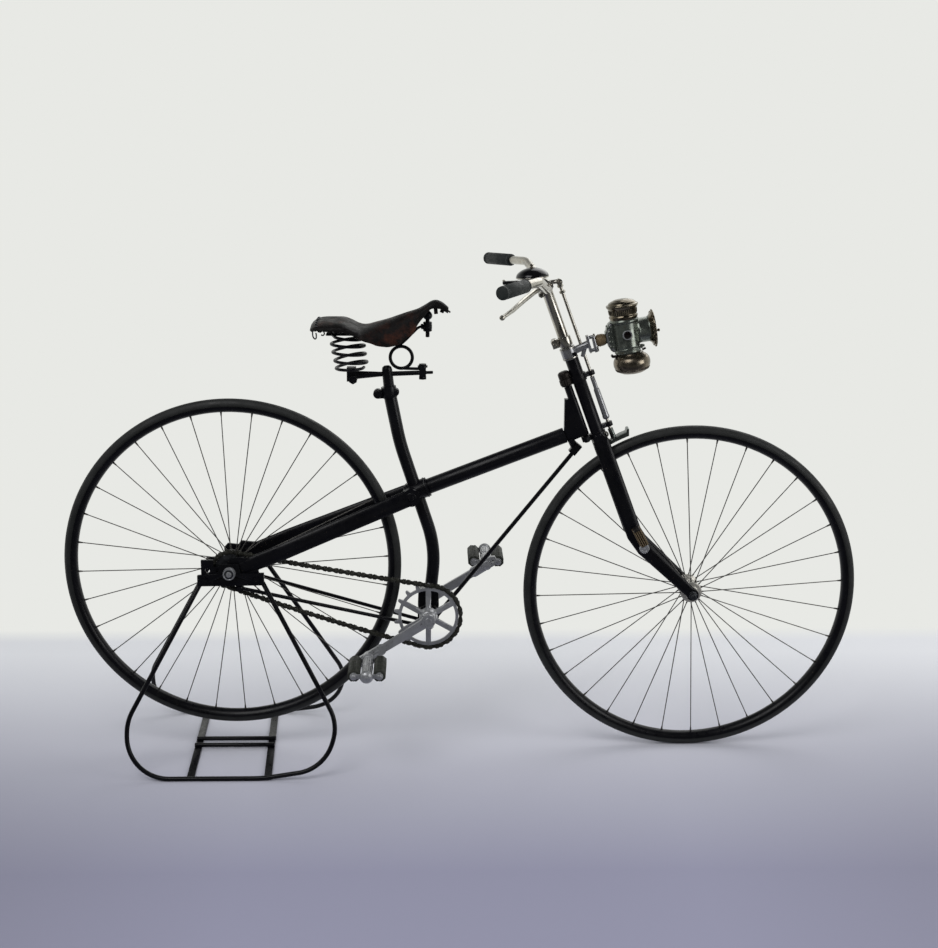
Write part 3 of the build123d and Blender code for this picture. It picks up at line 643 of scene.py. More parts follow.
class BICYCLE_OT_stage(Dresser, bpy.types.Operator):
    """Makes the floor, the backdrop, the lights and the camera"""
    bl_idname = "bicycle.stage"
    bl_label = "Stage"

    def make(self, context):
        scene = context.scene
        scene.view_settings.view_transform = "Standard"
        self.floor(scene)
        self.world(scene)
        self.lights(scene)
        self.camera(scene)

    def camera(self, scene):
        camera = bpy.data.cameras.new("camera")
        camera.lens, camera.sensor_width = scene.bicycle_sizes.lens, SENSOR
        camera.clip_end = 60
        eye = bpy.data.objects.new("camera", camera)
        pitch, yaw, roll = radians(CAMERA_PITCH), radians(CAMERA_YAW), radians(CAMERA_ROLL)
        ahead = Vector((sin(yaw) * cos(pitch), cos(yaw) * cos(pitch), -sin(pitch)))
        right = Vector((cos(yaw), -sin(yaw), 0))
        up = right.cross(ahead)
        turned_right = right * cos(roll) + up * sin(roll)
        turned_up = up * cos(roll) - right * sin(roll)
        turn = Matrix((turned_right, turned_up, -ahead)).transposed()
        eye.matrix_world = Matrix.Translation(CAMERA_AT) @ turn.to_4x4()
        scene.collection.objects.link(eye)
        scene.camera = eye

    def floor(self, scene):
        mesh = bpy.data.meshes.new("floor")
        bm = bmesh.new()
        bmesh.ops.create_grid(bm, x_segments=1, y_segments=1, size=FLOOR_SIZE)
        bm.to_mesh(mesh)
        bm.free()
        mesh.materials.append(floor_finish())
        obj = bpy.data.objects.new("floor", mesh)
        scene.collection.objects.link(obj)
        obj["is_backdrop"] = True

    def room(self, wiring):
        """Backdrop colour, with a darker room above and on the -Y side that only reflections show."""
        glossy = wiring.add("ShaderNodeLightPath").outputs["Is Glossy Ray"]
        way = wiring.add("ShaderNodeSeparateXYZ",
                         {0: wiring.add("ShaderNodeTexCoord").outputs["Generated"]}).outputs
        dark = wiring.most(wiring.band(way["Y"], 0.25, -0.3), wiring.band(way["Z"], 0.35, 0.8))
        return wiring.mix(wiring.times(dark, glossy), colours().backdrop, colours().room)

    def world(self, scene):
        """Even light from all round, and the backdrop that is seen instead of it."""
        world = scene.world or bpy.data.worlds.new("world")
        scene.world = world
        world.use_nodes = True
        wiring = Wiring(world.node_tree)
        wiring.tree.nodes.clear()
        light = wiring.add("ShaderNodeBackground", {0: srgb(236, 240, 246), 1: 0.62})
        seen = wiring.add("ShaderNodeBackground", {0: self.room(wiring), 1: 1.0})
        mixed = wiring.add("ShaderNodeMixShader", {0: seen_rays(wiring), 1: light.outputs[0],
                                                   2: seen.outputs[0]})
        wiring.add("ShaderNodeOutputWorld", {0: mixed.outputs[0]})

    def lights(self, scene):
        sizes = scene.bicycle_sizes
        for name, at, power, wide in (("key", (-1.6, -2.2, 3.4), sizes.key, 2.2),
                                      ("back", (1.4, 2.0, 2.8), sizes.fill, 2.4),
                                      ("side", (2.8, -1.6, 1.6), sizes.fill, 1.6)):
            lamp = bpy.data.lights.new(name, "AREA")
            lamp.energy, lamp.size = power, wide
            obj = bpy.data.objects.new(name, lamp)
            aim = (LIGHTS_AIM - Vector(at)).to_track_quat("-Z", "Y").to_matrix().to_4x4()
            obj.matrix_world = Matrix.Translation(at) @ aim
            scene.collection.objects.link(obj)


# ---- wheels -------------------------------------------------------------------------
SPOKES = 32
RIM_WALL = 3.5
TREAD_FLAT = 0.35         # how far the tread is worn down
FLANGE_R, FLANGE_Y = 20, 30     # where a spoke's hub end sits
WHEEL_STEPS, TYRE_SIDES = 180, 20


class BICYCLE_OT_wheels(Dresser, bpy.types.Operator):
    """Makes the tyres, rims, spokes and hubs"""
    bl_idname = "bicycle.wheels"
    bl_label = "Wheels"

    def make(self, context):
        for name, axle in (("front", front_axle), ("rear", rear_axle)):
            self.tyre(name, axle)
            self.rim(name, axle)
            self.spokes(name, axle, context.scene.bicycle_sizes.spoke)
            self.hub(name, axle)

    def tyre(self, name, axle):
        """Round section, a little flattened on the tread."""
        shape = Shape()
        middle_r = wheel_r - TYRE_R
        rows = [(TYRE_R * cos(a), middle_r + min(TYRE_R * sin(a), TYRE_R - TREAD_FLAT))
                for a in around(TYRE_SIDES, 0.5)]
        shape.spun(rows, axle, steps=WHEEL_STEPS, closed=True)
        shape.piece(name + "_tyre_rubber", name + "_wheel", "tyre", (name + "_tyre",), 60)

    def rim(self, name, axle):
        """Crescent rim that the tyre is cemented in; the spoke nipples are made with the spokes."""
        shape = Shape()
        middle_r = wheel_r - TYRE_R
        outer, inner = [], []
        for i in range(13):
            a = radians(192 + 156 * i / 12)
            outer.append(((TYRE_R + RIM_WALL) * cos(a), middle_r + (TYRE_R + RIM_WALL) * sin(a)))
            inner.append(((TYRE_R + 0.1) * cos(a), middle_r + (TYRE_R + 0.1) * sin(a)))
        shape.spun(outer + inner[::-1], axle, steps=WHEEL_STEPS, closed=True)
        shape.piece(name + "_rim_steel", name + "_wheel", "enamel", (name + "_rim",), 50)

    def spoke_ends(self, axle):
        """Hub end and rim end of each spoke."""
        top = wheel_r - 2 * TYRE_R - RIM_WALL
        for i, a in enumerate(around(SPOKES, 0.25)):
            out = Vector((cos(a), 0, sin(a)))
            side = Vector((0, FLANGE_Y if i % 2 else -FLANGE_Y, 0))
            yield axle + out * FLANGE_R + side, axle + out * top

    def spokes(self, name, axle, spoke_r):
        """Wires, thicker where they enter the hub, with a nipple at the rim."""
        shape = Shape()
        for hub_end, rim_end in self.spoke_ends(axle):
            along = (rim_end - hub_end).normalized()
            shape.bar(hub_end, rim_end - along * 0.5, spoke_r, sides=8)
            shape.bar(hub_end + along * 3, hub_end + along * 9, 1.9, 1.5, sides=8)
            shape.bar(rim_end - along * 9, rim_end - along * 0.2, 1.5, 2.4, sides=8)
        shape.piece(name + "_spoke_wires", name + "_wheel", "spoke_steel", (name + "_spokes",))

    def hub(self, name, axle):
        """Barrel, flanges with beaded edges, and dust caps."""
        shape = Shape()
        half = high(name + "_hub").y - axle.y
        side = ((0, 11), (8, 11), (16, 12.2), (23, 15.5), (27, 21), (27.4, 23), (28.2, 24), (32, 24),
                (32.8, 23), (33, 21), (33.2, 16.5), (35, 15.8), (36, 15.2), (half, 13.5), (half, 5.05))
        for flip in (1, -1):
            shape.spun([(a * flip, r) for a, r in side], axle, steps=64)
        if name == "rear":
            shape.spun(((-36.5, 5.05), (-36.5, 16), (-42, 16), (-42, 5.05)), axle, steps=48, closed=True)
        shape.bar(axle + Vector((0, 0, 10)), axle + Vector((0, 0, 16.5)), 3, 2.6, sides=12)
        shape.ball(axle + Vector((0, 0, 16.5)), 2.6, 12)
        finish = {"front": "hub_plate", "rear": "enamel"}[name]
        shape.piece(name + "_hub_shell", name + "_wheel", finish, (name + "_hub",))


# ---- chain --------------------------------------------------------------------------
PITCH = 25.4
RING_TEETH, SPROCKET_TEETH = 18, 10
CHAIN_Y = -45.0
SAG = 5.0                 # of the lower run; the upper one sags half as much
BLOCK_SHARE = 0.6         # of the pitch, between the rivets of one block
# a link's end radius, its faces' distances from the chain's middle, and its waist's share of the radius
BLOCK, PLATE = (6.0, 3.35, 4.15, 0.5), (5.0, 4.2, 6.6, 0.42)
RIVET = 0.8               # how far a rivet's head stands out


class BICYCLE_OT_chain(Dresser, bpy.types.Operator):
    """Makes the block chain: blocks, side plates and rivets"""
    bl_idname = "bicycle.chain"
    bl_label = "Chain"

    def make(self, context):
        steel = Shape()
        self.lay_out()
        count = round(self.length / PITCH)
        step = self.length / count
        for i in range(count):
            start = i * step + self.phase
            rivet = start + BLOCK_SHARE * step
            self.link(steel, start, rivet, *BLOCK)
            self.link(steel, rivet, start + step, *PLATE, riveted=True)
        steel.piece("chain_links", "frame", "chain_steel", ("chain",), 30)

    def lay_out(self):
        """The pitch line: two straight runs and two arcs."""
        self.ring_r = PITCH / (2 * sin(pi / RING_TEETH))
        self.sprocket_r = PITCH / (2 * sin(pi / SPROCKET_TEETH))
        across = crank_axle - rear_axle
        self.gap = hypot(across.x, across.z)
        self.lean = atan2(across.z, across.x)
        self.wrap = acos((self.ring_r - self.sprocket_r) / self.gap)
        self.run = self.gap * sin(self.wrap)
        ring_arc = 2 * (pi - self.wrap) * self.ring_r
        self.length = 2 * self.run + ring_arc + 2 * self.wrap * self.sprocket_r
        self.phase = 0.2 * PITCH

    def on_run(self, start, end, t, sag):
        """Point at t from 0 to 1 along a run, which hangs lowest in its middle."""
        p = start.lerp(end, t)
        p.z -= 4 * sag * t * (1 - t)
        return p

    def point(self, d):
        """Point of the pitch line a distance d on from the top of the sprocket."""
        d %= self.length
        rear = Vector((rear_axle.x, 0, rear_axle.z))
        ring = Vector((crank_axle.x, 0, crank_axle.z))

        def on(centre, radius, a):
            return centre + Vector((radius * cos(a), 0, radius * sin(a)))
        up_angle, down_angle = self.lean + self.wrap, self.lean - self.wrap
        top = on(rear, self.sprocket_r, up_angle), on(ring, self.ring_r, up_angle)
        bottom = on(ring, self.ring_r, down_angle), on(rear, self.sprocket_r, down_angle)
        if d < self.run:
            return self.on_run(*top, d / self.run, SAG / 2)
        d -= self.run
        if d < 2 * self.wrap * self.ring_r:
            return on(ring, self.ring_r, up_angle - d / self.ring_r)
        d -= 2 * self.wrap * self.ring_r
        if d < self.run:
            return self.on_run(*bottom, d / self.run, SAG)
        d -= self.run
        return on(rear, self.sprocket_r, down_angle - d / self.sprocket_r)

    def link(self, steel, d0, d1, r, y0, y1, narrow, riveted=False):
        """Waisted plate from one rivet to the next, on both sides of the teeth."""
        a, b = self.point(d0), self.point(d1)
        along = (b - a).normalized()
        out = Vector((-along.z, 0, along.x))
        centre = (a + b) / 2
        half = (b - a).length / 2
        outline = []
        for end, facing in ((1, 0), (-1, pi)):
            for k in range(7):
                t = facing - radians(66) + radians(132) * k / 6
                p = centre + along * (end * half + r * cos(t)) + out * r * sin(t)
                outline.append((p.x, p.z))
            waist = centre + out * r * narrow * end
            outline.append((waist.x, waist.z))
        for side in (-1, 1):
            low_y, high_y = sorted((CHAIN_Y + side * y0, CHAIN_Y + side * y1))
            steel.prism(outline, low_y, high_y, 0.35)
            for p in (a, b) if riveted else ():
                steel.bar((p.x, CHAIN_Y + side * y1, p.z), (p.x, CHAIN_Y + side * (y1 + RIVET), p.z),
                          2.9, 2.2, 10)


# ---- saddle -------------------------------------------------------------------------
# stations of the hide: x, half width, lower edge, crown, and how square its shoulders are
HIDE = ((-332, 54, 983, 991, 0.5), (-325, 66, 982, 996, 0.5), (-312, 75, 982, 1001, 0.5),
        (-290, 79, 982, 1003, 0.5), (-265, 80, 981, 1003, 0.55), (-247, 79, 976, 997, 0.6),
        (-230, 75, 968, 989, 0.75), (-212, 68, 959, 988, 1.0), (-194, 63, 952, 993, 1.1),
        (-176, 60, 947.5, 998, 1.15), (-160, 57, 947, 1003, 1.15), (-144, 52, 951, 1009, 1.1),
        (-122, 43, 964, 1017, 1.05), (-101, 33, 988, 1024, 1.0), (-84, 23, 1013, 1033, 0.9),
        (-70, 18, 1024, 1041, 0.8), (-58, 16, 1025, 1042.5, 0.75), (-45, 13, 1021, 1037, 0.7),
        (-33, 9, 1014, 1027, 0.6))
HIDE_T = 3.6              # thickness of the hide
TACKS = 9
# x and z of the ends of the rear spring's half turns, from the bottom up
COIL = ((-216, 893), (-284, 891), (-209, 905), (-287, 908), (-212, 923), (-291, 927), (-214, 941),
        (-294, 945), (-220, 956), (-288, 962))
RING, RING_R = Vector((-137, 0, 915)), 24.3


def along_rows(rows, t):
    """Smooth value of rows of numbers at t from 0 to 1, through every row."""
    t = min(max(t, 0.0), 1.0) * (len(rows) - 1)
    i = min(int(t), len(rows) - 2)
    f = t - i
    near = [rows[min(max(i + k, 0), len(rows) - 1)] for k in (-1, 0, 1, 2)]
    return [b + 0.5 * f * (c - a + f * (2 * a - 5 * b + 4 * c - d + f * (3 * (b - c) + d - a)))
            for a, b, c, d in zip(*near)]


class BICYCLE_OT_saddle(Dresser, bpy.types.Operator):
    """Makes the saddle's hide, springs, bolts and hooks"""
    bl_idname = "bicycle.saddle"
    bl_label = "Saddle"

    def make(self, context):
        self.hide()
        self.coil()
        self.ring()
        self.nose()
        self.fittings()

    def hide(self):
        """One stretched hide, crowned, with sagging skirts and a curled rear edge."""
        shape = Shape()
        across, down = 40, 96
        bmesh.ops.create_grid(shape.bm, x_segments=down, y_segments=across, size=0.5)
        flow = random.Random(5)
        waves = [(flow.uniform(0.02, 0.09), flow.uniform(0.03, 0.11), flow.uniform(0, 6.3)) for _ in range(5)]
        for vert in shape.bm.verts:
            s, t = vert.co.y * 2, vert.co.x + 0.5
            x, wide, low_z, top_z, square = along_rows(HIDE, t)
            a = s * pi / 2
            y = wide * (abs(sin(a)) ** (1 / (0.9 + 0.25 * square))) * (1 if s >= 0 else -1)
            rise = max(cos(a), 0.0) ** (0.62 if square < 0.8 else 0.8)
            z = low_z + (top_z - low_z) * rise
            bumps = sum(sin(x * u + y * v + w) for u, v, w in waves) / 5
            edge = abs(s) ** 6
            torn = edge * max(0.0, min(1.0, (-225 - x) / 30)) * (sin(x * 0.33) + 0.6 * sin(x * 0.81 + 1.3))
            vert.co = (x + edge * 2.0 * sin(x * 0.21), y - (1 if s > 0 else -1) * 1.2 * edge * (1 + bumps),
                       z + bumps * 1.1 * (1 - edge) - 0.8 + 1.5 * torn)
        piece = shape.piece("saddle_hide", "frame", "leather", ("saddle_leather",), 60)
        thick = piece.modifiers.new("hide", "SOLIDIFY")
        thick.thickness, thick.offset = HIDE_T * MM, -1
        soft = piece.modifiers.new("edge", "BEVEL")
        soft.width, soft.segments, soft.limit_method, soft.angle_limit = 0.0009, 2, "ANGLE", radians(50)
        self.rim()

    def rim(self):
        """Tack heads along the rear edge, the loose tabs of the nose and the wire hooks."""
        shape = Shape()
        for i in range(TACKS):
            s = -0.84 + 1.68 * i / (TACKS - 1)
            y = 66 * sin(s * pi / 2)
            z = 984 + 14 * max(cos(s * pi / 2), 0) ** 0.6
            shape.ball((-319, y, z + 1.6), (3.4, 3.4, 1.7), 14)
        shape.piece("saddle_tacks", "frame", "dark_steel")
        hooks = Shape()
        hooks.tube(((-327, -40, 984), (-328, -42, 975), (-325.5, -43, 964), (-322, -43, 962),
                    (-320, -42, 968), (-321, -41, 975)), 1.5, steps=10)
        hooks.tube(((-309, -30, 982), (-305, -34, 977), (-303, -37, 972), (-306, -38, 969),
                    (-310, -38, 970)), 1.5, steps=10)
        hooks.piece("saddle_hooks", "frame", "dark_steel")
        tab = Shape()
        tab.block((-61, -5, 1020), (8.5, 3, 17), Matrix.Rotation(radians(-5), 4, "Y"), 0.9)
        tab.block((-47, -3, 1018), (9, 3.4, 8), Matrix.Rotation(radians(22), 4, "Y"), 0.9)
        tab.block((-35, 3, 1018.5), (15, 7, 3.4), Matrix.Rotation(radians(34), 4, "Y"), 0.9)
        tab.piece("saddle_torn_tab", "frame", "leather")

    def coil(self):
        """Rear spring, wound in flat half turns that climb and lean back."""
        shape = Shape()
        points = []
        for i in range(len(COIL) - 1):
            inset = 3.4 if i % 2 else -3.4
            (x0, z0), (x1, z1) = COIL[i], COIL[i + 1]
            x0, x1 = x0 + inset, x1 - inset
            for k in range(6 + (i == len(COIL) - 2)):
                turn = pi * k / 6
                part = (1 - cos(turn)) / 2
                points.append((x0 + (x1 - x0) * part, 34.5 * sin(turn) * (1 if i % 2 else -1),
                               z0 + (z1 - z0) * part))
        shape.tube(points, 3.4, sides=14, steps=5)
        shape.block((-262, 0, 968), (78, 50, 4.4), None, 1.8)
        shape.bar((-284, 0, 961), (-284, 0, 970), 5)
        for x in (-292, -233):
            shape.nut((x, 0, 970), (x, 0, 974), 10)
        shape.piece("saddle_coil_spring", "frame", "enamel", ("saddle_springs",))

    def ring(self):
        """Front spring: a ring of wire whose tail runs to the front clamp."""
        shape = Shape()
        loop = [RING + Vector((RING_R * cos(a), 0, RING_R * sin(a))) for a in around(24)]
        shape.tube(loop, 3.8, closed=True, sides=16, steps=4)
        shape.tube((RING + Vector((0, 0, -RING_R)), RING + Vector((20, 0, -25)), (-84, 0, 889.5)), 3.3,
                   sides=14)
        shape.piece("saddle_wire_ring", "frame", "enamel", ("saddle_ring_spring",))

    def nose(self):
        """Nose bolt, its square nut and knob, and the wire back to the ring."""
        shape = Shape()
        at = (-79, 0, 0)
        shape.spun(((959.5, 0.01), (960, 3.4), (961, 4.3), (973, 4.3), (973, 8.6), (974, 9.6), (977, 10),
                    (977.6, 9.2), (978.4, 9.2), (979, 10), (988, 10), (988.6, 9.2), (989.4, 9.2), (990, 10),
                    (993, 9.6), (994, 8.4), (994, 4.5), (998.5, 4.5), (1001, 8), (1004, 10.2), (1007, 10.8),
                    (1010.5, 10.2), (1014.5, 8.2), (1018, 4.5), (1019, 0.01)), at, (0, 0, 1), 36)
        for k in range(5):
            shape.spun(((961.5 + 2.2 * k, 4.2), (962.3 + 2.2 * k, 4.9), (963.1 + 2.2 * k, 4.2)), at,
                       (0, 0, 1), 20)
        shape.tube(((-81, 0, 984), (-97, 0, 982), (-110, 0, 971), (-128, 0, 953), (-138, 0, 945),
                    (-150, 0, 941)), 3, sides=14)
        shape.nut((-88.5, 0, 983.6), (-93.5, 0, 983), 11)
        shape.piece("saddle_nose_fitting", "frame", "enamel", ("saddle_nose_bolt",))

    def fittings(self):
        """Nuts and bolt ends of the clamps under the saddle."""
        shape = Shape()
        shape.nut((-90, 0, 896.6), (-90, 0, 900.6), 16)
        shape.nut((-90, 0, 873), (-90, 0, 866.4), 16)
        for side in (-1, 1):
            shape.nut((-243, side * 16.8, 868), (-243, side * 23, 868), 17)
            shape.bar((-243, side * 23, 868), (-243, side * 26, 868), 5, 4.2, 16)
        shape.nut((-189, 7.8, 834), (-189, 13.5, 834), 17)
        shape.nut((-189, -7.8, 834), (-189, -13.5, 834), 17)
        shape.bar((-189, -13.5, 834), (-189, -17, 834), 4.6, 3.8, 16)
        shape.nut((-150, -9, 838), (-150, -13, 838), 12)
        shape.bar((-72, 0, 881.5), (-67, 0, 881.7), 3.4, 2.6, 14)
        shape.piece("saddle_clamp_nuts", "frame", "enamel")


# ---- lamp ---------------------------------------------------------------------------
LAMP = Matrix.Translation((358, 0, 965)) @ Matrix.Rotation(radians(-9), 4, "Y")
BARREL_Z, JEWEL_Z, FONT_X = 6.4, 4.0, 5.6     # lens axis, side jewels and oil font
CHIMNEY_FLUTES, FONT_FLUTES, RIM_SCALLOPS = 44, 60, 24
BALL_JOINT, BALL_WAY = (291, 0, 951), (25, 0, 6)


class BICYCLE_OT_lamp(Dresser, bpy.types.Operator):
    """Makes the oil lamp: chimney, body, font, lens and jewels"""
    bl_idname = "bicycle.lamp"
    bl_label = "Oil lamp"

    def make(self, context):
        self.body()
        self.font()
        self.barrel()
        self.glass()
        self.knuckle()

    def keep(self, shape, name, finish, replaces=(), sharp=38.0):
        """Ends a shape that was made about the lamp's own middle."""
        shape.transform(LAMP)
        return shape.piece(name, "steering", finish, replaces, sharp)

    def body(self):
        """Shell with its side rings, and the fluted chimney on top."""
        shape = Shape()
        up = (0, 0, 1)
        shape.spun(((-40, 0.01), (-40, 26.2), (-39.2, 27.6), (-37.6, 28.8), (-36.2, 29.5), (-35, 29.2),
                    (-34.4, 28.4), (-31, 28.4), (-30.4, 29.1), (-29.2, 29.4), (-28, 29.1), (-27.4, 28.5),
                    (-25, 28.5), (-24.4, 28.9), (-23.6, 28.9), (-23, 28.6), (28, 29.4), (28.6, 30.2),
                    (29.6, 31.2), (31, 31.9), (32, 32.1), (34, 32.1), (35.4, 31.4), (36.2, 30.6),
                    (37.4, 30.2)), (0, 0, 0), up, 72)
        shape.tube([(24.5 + 3.6 * cos(a), -22.5 - 3 * abs(sin(a / 2)), 7 + 3.6 * sin(a)) for a in around(10)],
                   1.0, closed=True, sides=8)
        shape.block((30, -13, -27), (5, 7, 9), Matrix.Rotation(radians(-24), 4, "Z"), 1.2)
        shape.ball((34, -14, -26), 3.2, 16)
        self.keep(shape, "lamp_shell", "lamp_nickel", ("lamp_body",))
        rings = Shape()
        for side in (-1, 1):
            rings.spun(((24, 10.8), (31.4, 10.8), (32.6, 10.6), (33.2, 10), (33.2, 9), (32.4, 8.2), (31, 8),
                        (27, 8)), (0.6, 0, JEWEL_Z), (0, side, 0), 48, True)
        self.keep(rings, "lamp_jewel_rings", "bright_steel")
        crown = Shape()
        crown.spun(((36.6, 30.3), (38, 30.5), (39.4, 30.9), (41.4, 31.8), (43, 32.1), (44.6, 31.7),
                    (46, 30.5), (47, 30.1), (48, 30.3), (59.4, 31.2), (61, 32.2), (63, 33.6), (65, 34.8),
                    (66.6, 35.4), (68.2, 35.5), (69.2, 34.9), (69.5, 33.2), (70.2, 31.6), (71.4, 30.6),
                    (73.4, 29.7), (74.6, 28.2), (75.2, 26.2), (76.4, 24.8), (77.4, 22.4), (78, 19.8),
                    (79.2, 18), (80, 14.4), (80.8, 9.5), (81.2, 4.5), (81.3, 0.01)), (0, 0, 0), up, 72)
        for a in around(CHIMNEY_FLUTES):
            out = Vector((cos(a), sin(a), 0))
            crown.bar(out * 30.2 + Vector((0, 0, 49)), out * 31.0 + Vector((0, 0, 58.6)), 1.15, 1.25, 6)
        self.keep(crown, "lamp_chimney", "lamp_brass")

    def font(self):
        """Oil font with a fluted band, and the clips that hold it."""
        shape = Shape()
        shape.spun(((-85, 0.01), (-85, 22), (-84.4, 23.8), (-83, 27), (-80, 32.6), (-76, 36.8), (-71, 39.4),
                    (-66.5, 40.7), (-62, 41), (-57.5, 40.6), (-53, 39.2), (-49, 36.8), (-46, 33.8),
                    (-44, 30.6), (-42.4, 28.6), (-40.3, 27.4), (-40.2, 0.01)), (FONT_X, 0, 0), (0, 0, 1),
                   72)
        foot, top = Vector((FONT_X, 0, -78)), Vector((FONT_X, 0, -73))
        for a in around(FONT_FLUTES):
            out = Vector((cos(a), sin(a), 0))
            shape.bar(foot + out * 34.9, top + out * 38.3, 1.2, 1.2, 6)
        self.keep(shape, "lamp_oil_font", "font_plate", ("lamp_font",))
        clip = Shape()
        clip.block((-26, 0, -43.5), (19, 13, 4.6), None, 1.2)
        clip.bar((-35, -7.5, -42), (-35, 7.5, -42), 3.2)
        clip.block((36, 0, -36), (9, 12, 3), Matrix.Rotation(radians(-20), 4, "Y"), 0.9)
        self.keep(clip, "lamp_font_clip", "bronzed")

    def barrel(self):
        """Tube in front of the shell, and the flared, scalloped rim of its lens door."""
        tube = Shape()
        tube.spun(((26, 27.3), (29.5, 28.4), (31, 27.6), (50, 27.4), (51, 28.2), (52.2, 28.4), (53.2, 29.2),
                   (53.4, 26), (26, 25.4)), (0, 0, BARREL_Z), (1, 0, 0), 72, True)
        self.keep(tube, "lamp_lens_tube", "lamp_nickel")
        shape = Shape()
        shape.spun(((52.6, 28.8), (53.2, 29.4), (55, 31.4), (57, 34.6), (59, 37.6), (60.6, 39.4),
                    (62.2, 40), (63.8, 40), (64.8, 39.3), (65, 37.6), (64.2, 36), (62.4, 34.8),
                    (60.6, 33.9), (60.2, 33.4)), (0, 0, BARREL_Z), (1, 0, 0), 72)
        for a in around(RIM_SCALLOPS, 0.5):
            shape.ball((62.6, 39.5 * cos(a), BARREL_Z + 39.5 * sin(a)), (2.0, 2.3, 2.3), 10)
            shape.ball((58.8, 36.6 * cos(a + 0.13), BARREL_Z + 36.6 * sin(a + 0.13)), (1.5, 1.9, 1.9), 8)
        shape.spun(((60, 2.2), (66, 2.2), (66.6, 3.1), (70, 3.3), (71, 2.4), (71.2, 0.01)),
                   (0, -38, BARREL_Z), (1, 0, 0), 18)
        shape.bar((57.5, 39.5, BARREL_Z - 8), (57.5, 39.5, BARREL_Z + 8), 2.4)
        self.keep(shape, "lamp_lens_barrel", "lamp_brass", ("lamp_front",))

    def glass(self):
        """Bull's eye lens, and a jewel on each side."""
        lens = Shape()
        lens.spun(((60.4, 0.01), (60.4, 33.2), (62.2, 33.1), (63.4, 30), (64.6, 25), (65.6, 19), (66.4, 12),
                   (66.9, 6), (67, 0.01)), (0, 0, BARREL_Z), (1, 0, 0), 56)
        self.keep(lens, "lamp_bull_eye", "lens_glass", ("lamp_lens",))
        jewels = Shape()
        for side in (-1, 1):
            jewels.spun(((29.5, 0.01), (29.5, 7.8), (31.2, 7.8), (32.8, 6.2), (33.7, 3.6), (34, 0.01)),
                        (0.6, 0, JEWEL_Z), (0, side, 0), 10)
        self.keep(jewels, "lamp_side_jewels", "jewel_glass", ("lamp_jewels",), 20)

    def knuckle(self):
        """Ball joint between the bracket and the lamp, the scalloped leaf behind the shell, and bolts."""
        shape = Shape()
        shape.spun(((-3.2, 8.2), (-2.6, 9), (0.4, 9), (1.2, 8.8), (3, 11.6), (5, 12.8), (9, 13.5), (15, 13.5),
                    (19, 12.8), (22.4, 11.4), (24.6, 9.2), (26.2, 7.4)), BALL_JOINT, BALL_WAY, 40)
        shape.spun(((7, 13.4), (8, 14.1), (9, 14.1), (10, 13.5)), BALL_JOINT, BALL_WAY, 40)
        shape.piece("lamp_ball_joint", "steering", "pad_brass")
        leaf = Shape()
        leaf.prism(((-26.5, 33), (-32, 33.5), (-36, 30.5), (-37.6, 25), (-41, 22.6), (-42.2, 17),
                    (-45, 13.5), (-45.6, 7), (-44.4, 2), (-46, -3.5), (-45, -9.5), (-41.6, -13),
                    (-42, -18.5), (-38.8, -22), (-37.6, -27.5), (-33.4, -31.6), (-28, -32.4), (-26.5, -30)),
                   -12.5, 12.5, 1.4)
        for z in (24, 13, 2, -9, -20):
            for side in (-1, 1):
                leaf.ball((-35.5, side * 12.4, z), (5.4, 1.7, 3.6), 14)
        self.keep(leaf, "lamp_bracket_leaf", "lamp_nickel")
        bolts = Shape()
        for x, z in ((271, 958), (280, 930)):
            bolts.nut((x - 1, 0, z - 0.3), (x + 3, 0, z + 0.7), 11)
            bolts.nut((x + 15, 0, z + 3.7), (x + 19, 0, z + 4.6), 11)
        bolts.piece("lamp_bracket_bolts", "steering", "nickel")
        # The collar screw's head is black enamel: painted shade that stands for the dark hole in the collar.
        screw = Shape()
        screw.bar((245, -17.2, 925), (245, -19.4, 925), 4.8, 4.2, 20)
        screw.piece("lamp_collar_screw_painted_shade", "steering", "enamel")


# ---- controls -----------------------------------------------------------------------
GRIP_END, ELBOW = Vector((67.6, 366, 1099)), Vector((150, 220, 1106))
BELL, BELL_UP = Vector((141.8, -125, 1104.5)), Vector((-0.08, 0, 1))
ROD_AHEAD = COLUMN + 31
GUIDE_LEVELS = (-42, 81)  # of the brake rod's guides, below the top of the head casting
LOCK_NUTS, SLEEVE_TOP = (-250, -236), -33     # on the brake rod, from the same level
STEM_EAR, STEM_LUG, CROWN_EYE = (201, 0, 948), (208.5, 1082), (317.7, 0, 743.7)
PINCH_LEVEL, HEAD_RINGS = -243, (-112, -90)


def mirrored(point, side):
    """The point for one side of the bicycle: 1 is its left, and -1 its right."""
    return Vector((point[0], side * point[1], point[2]))


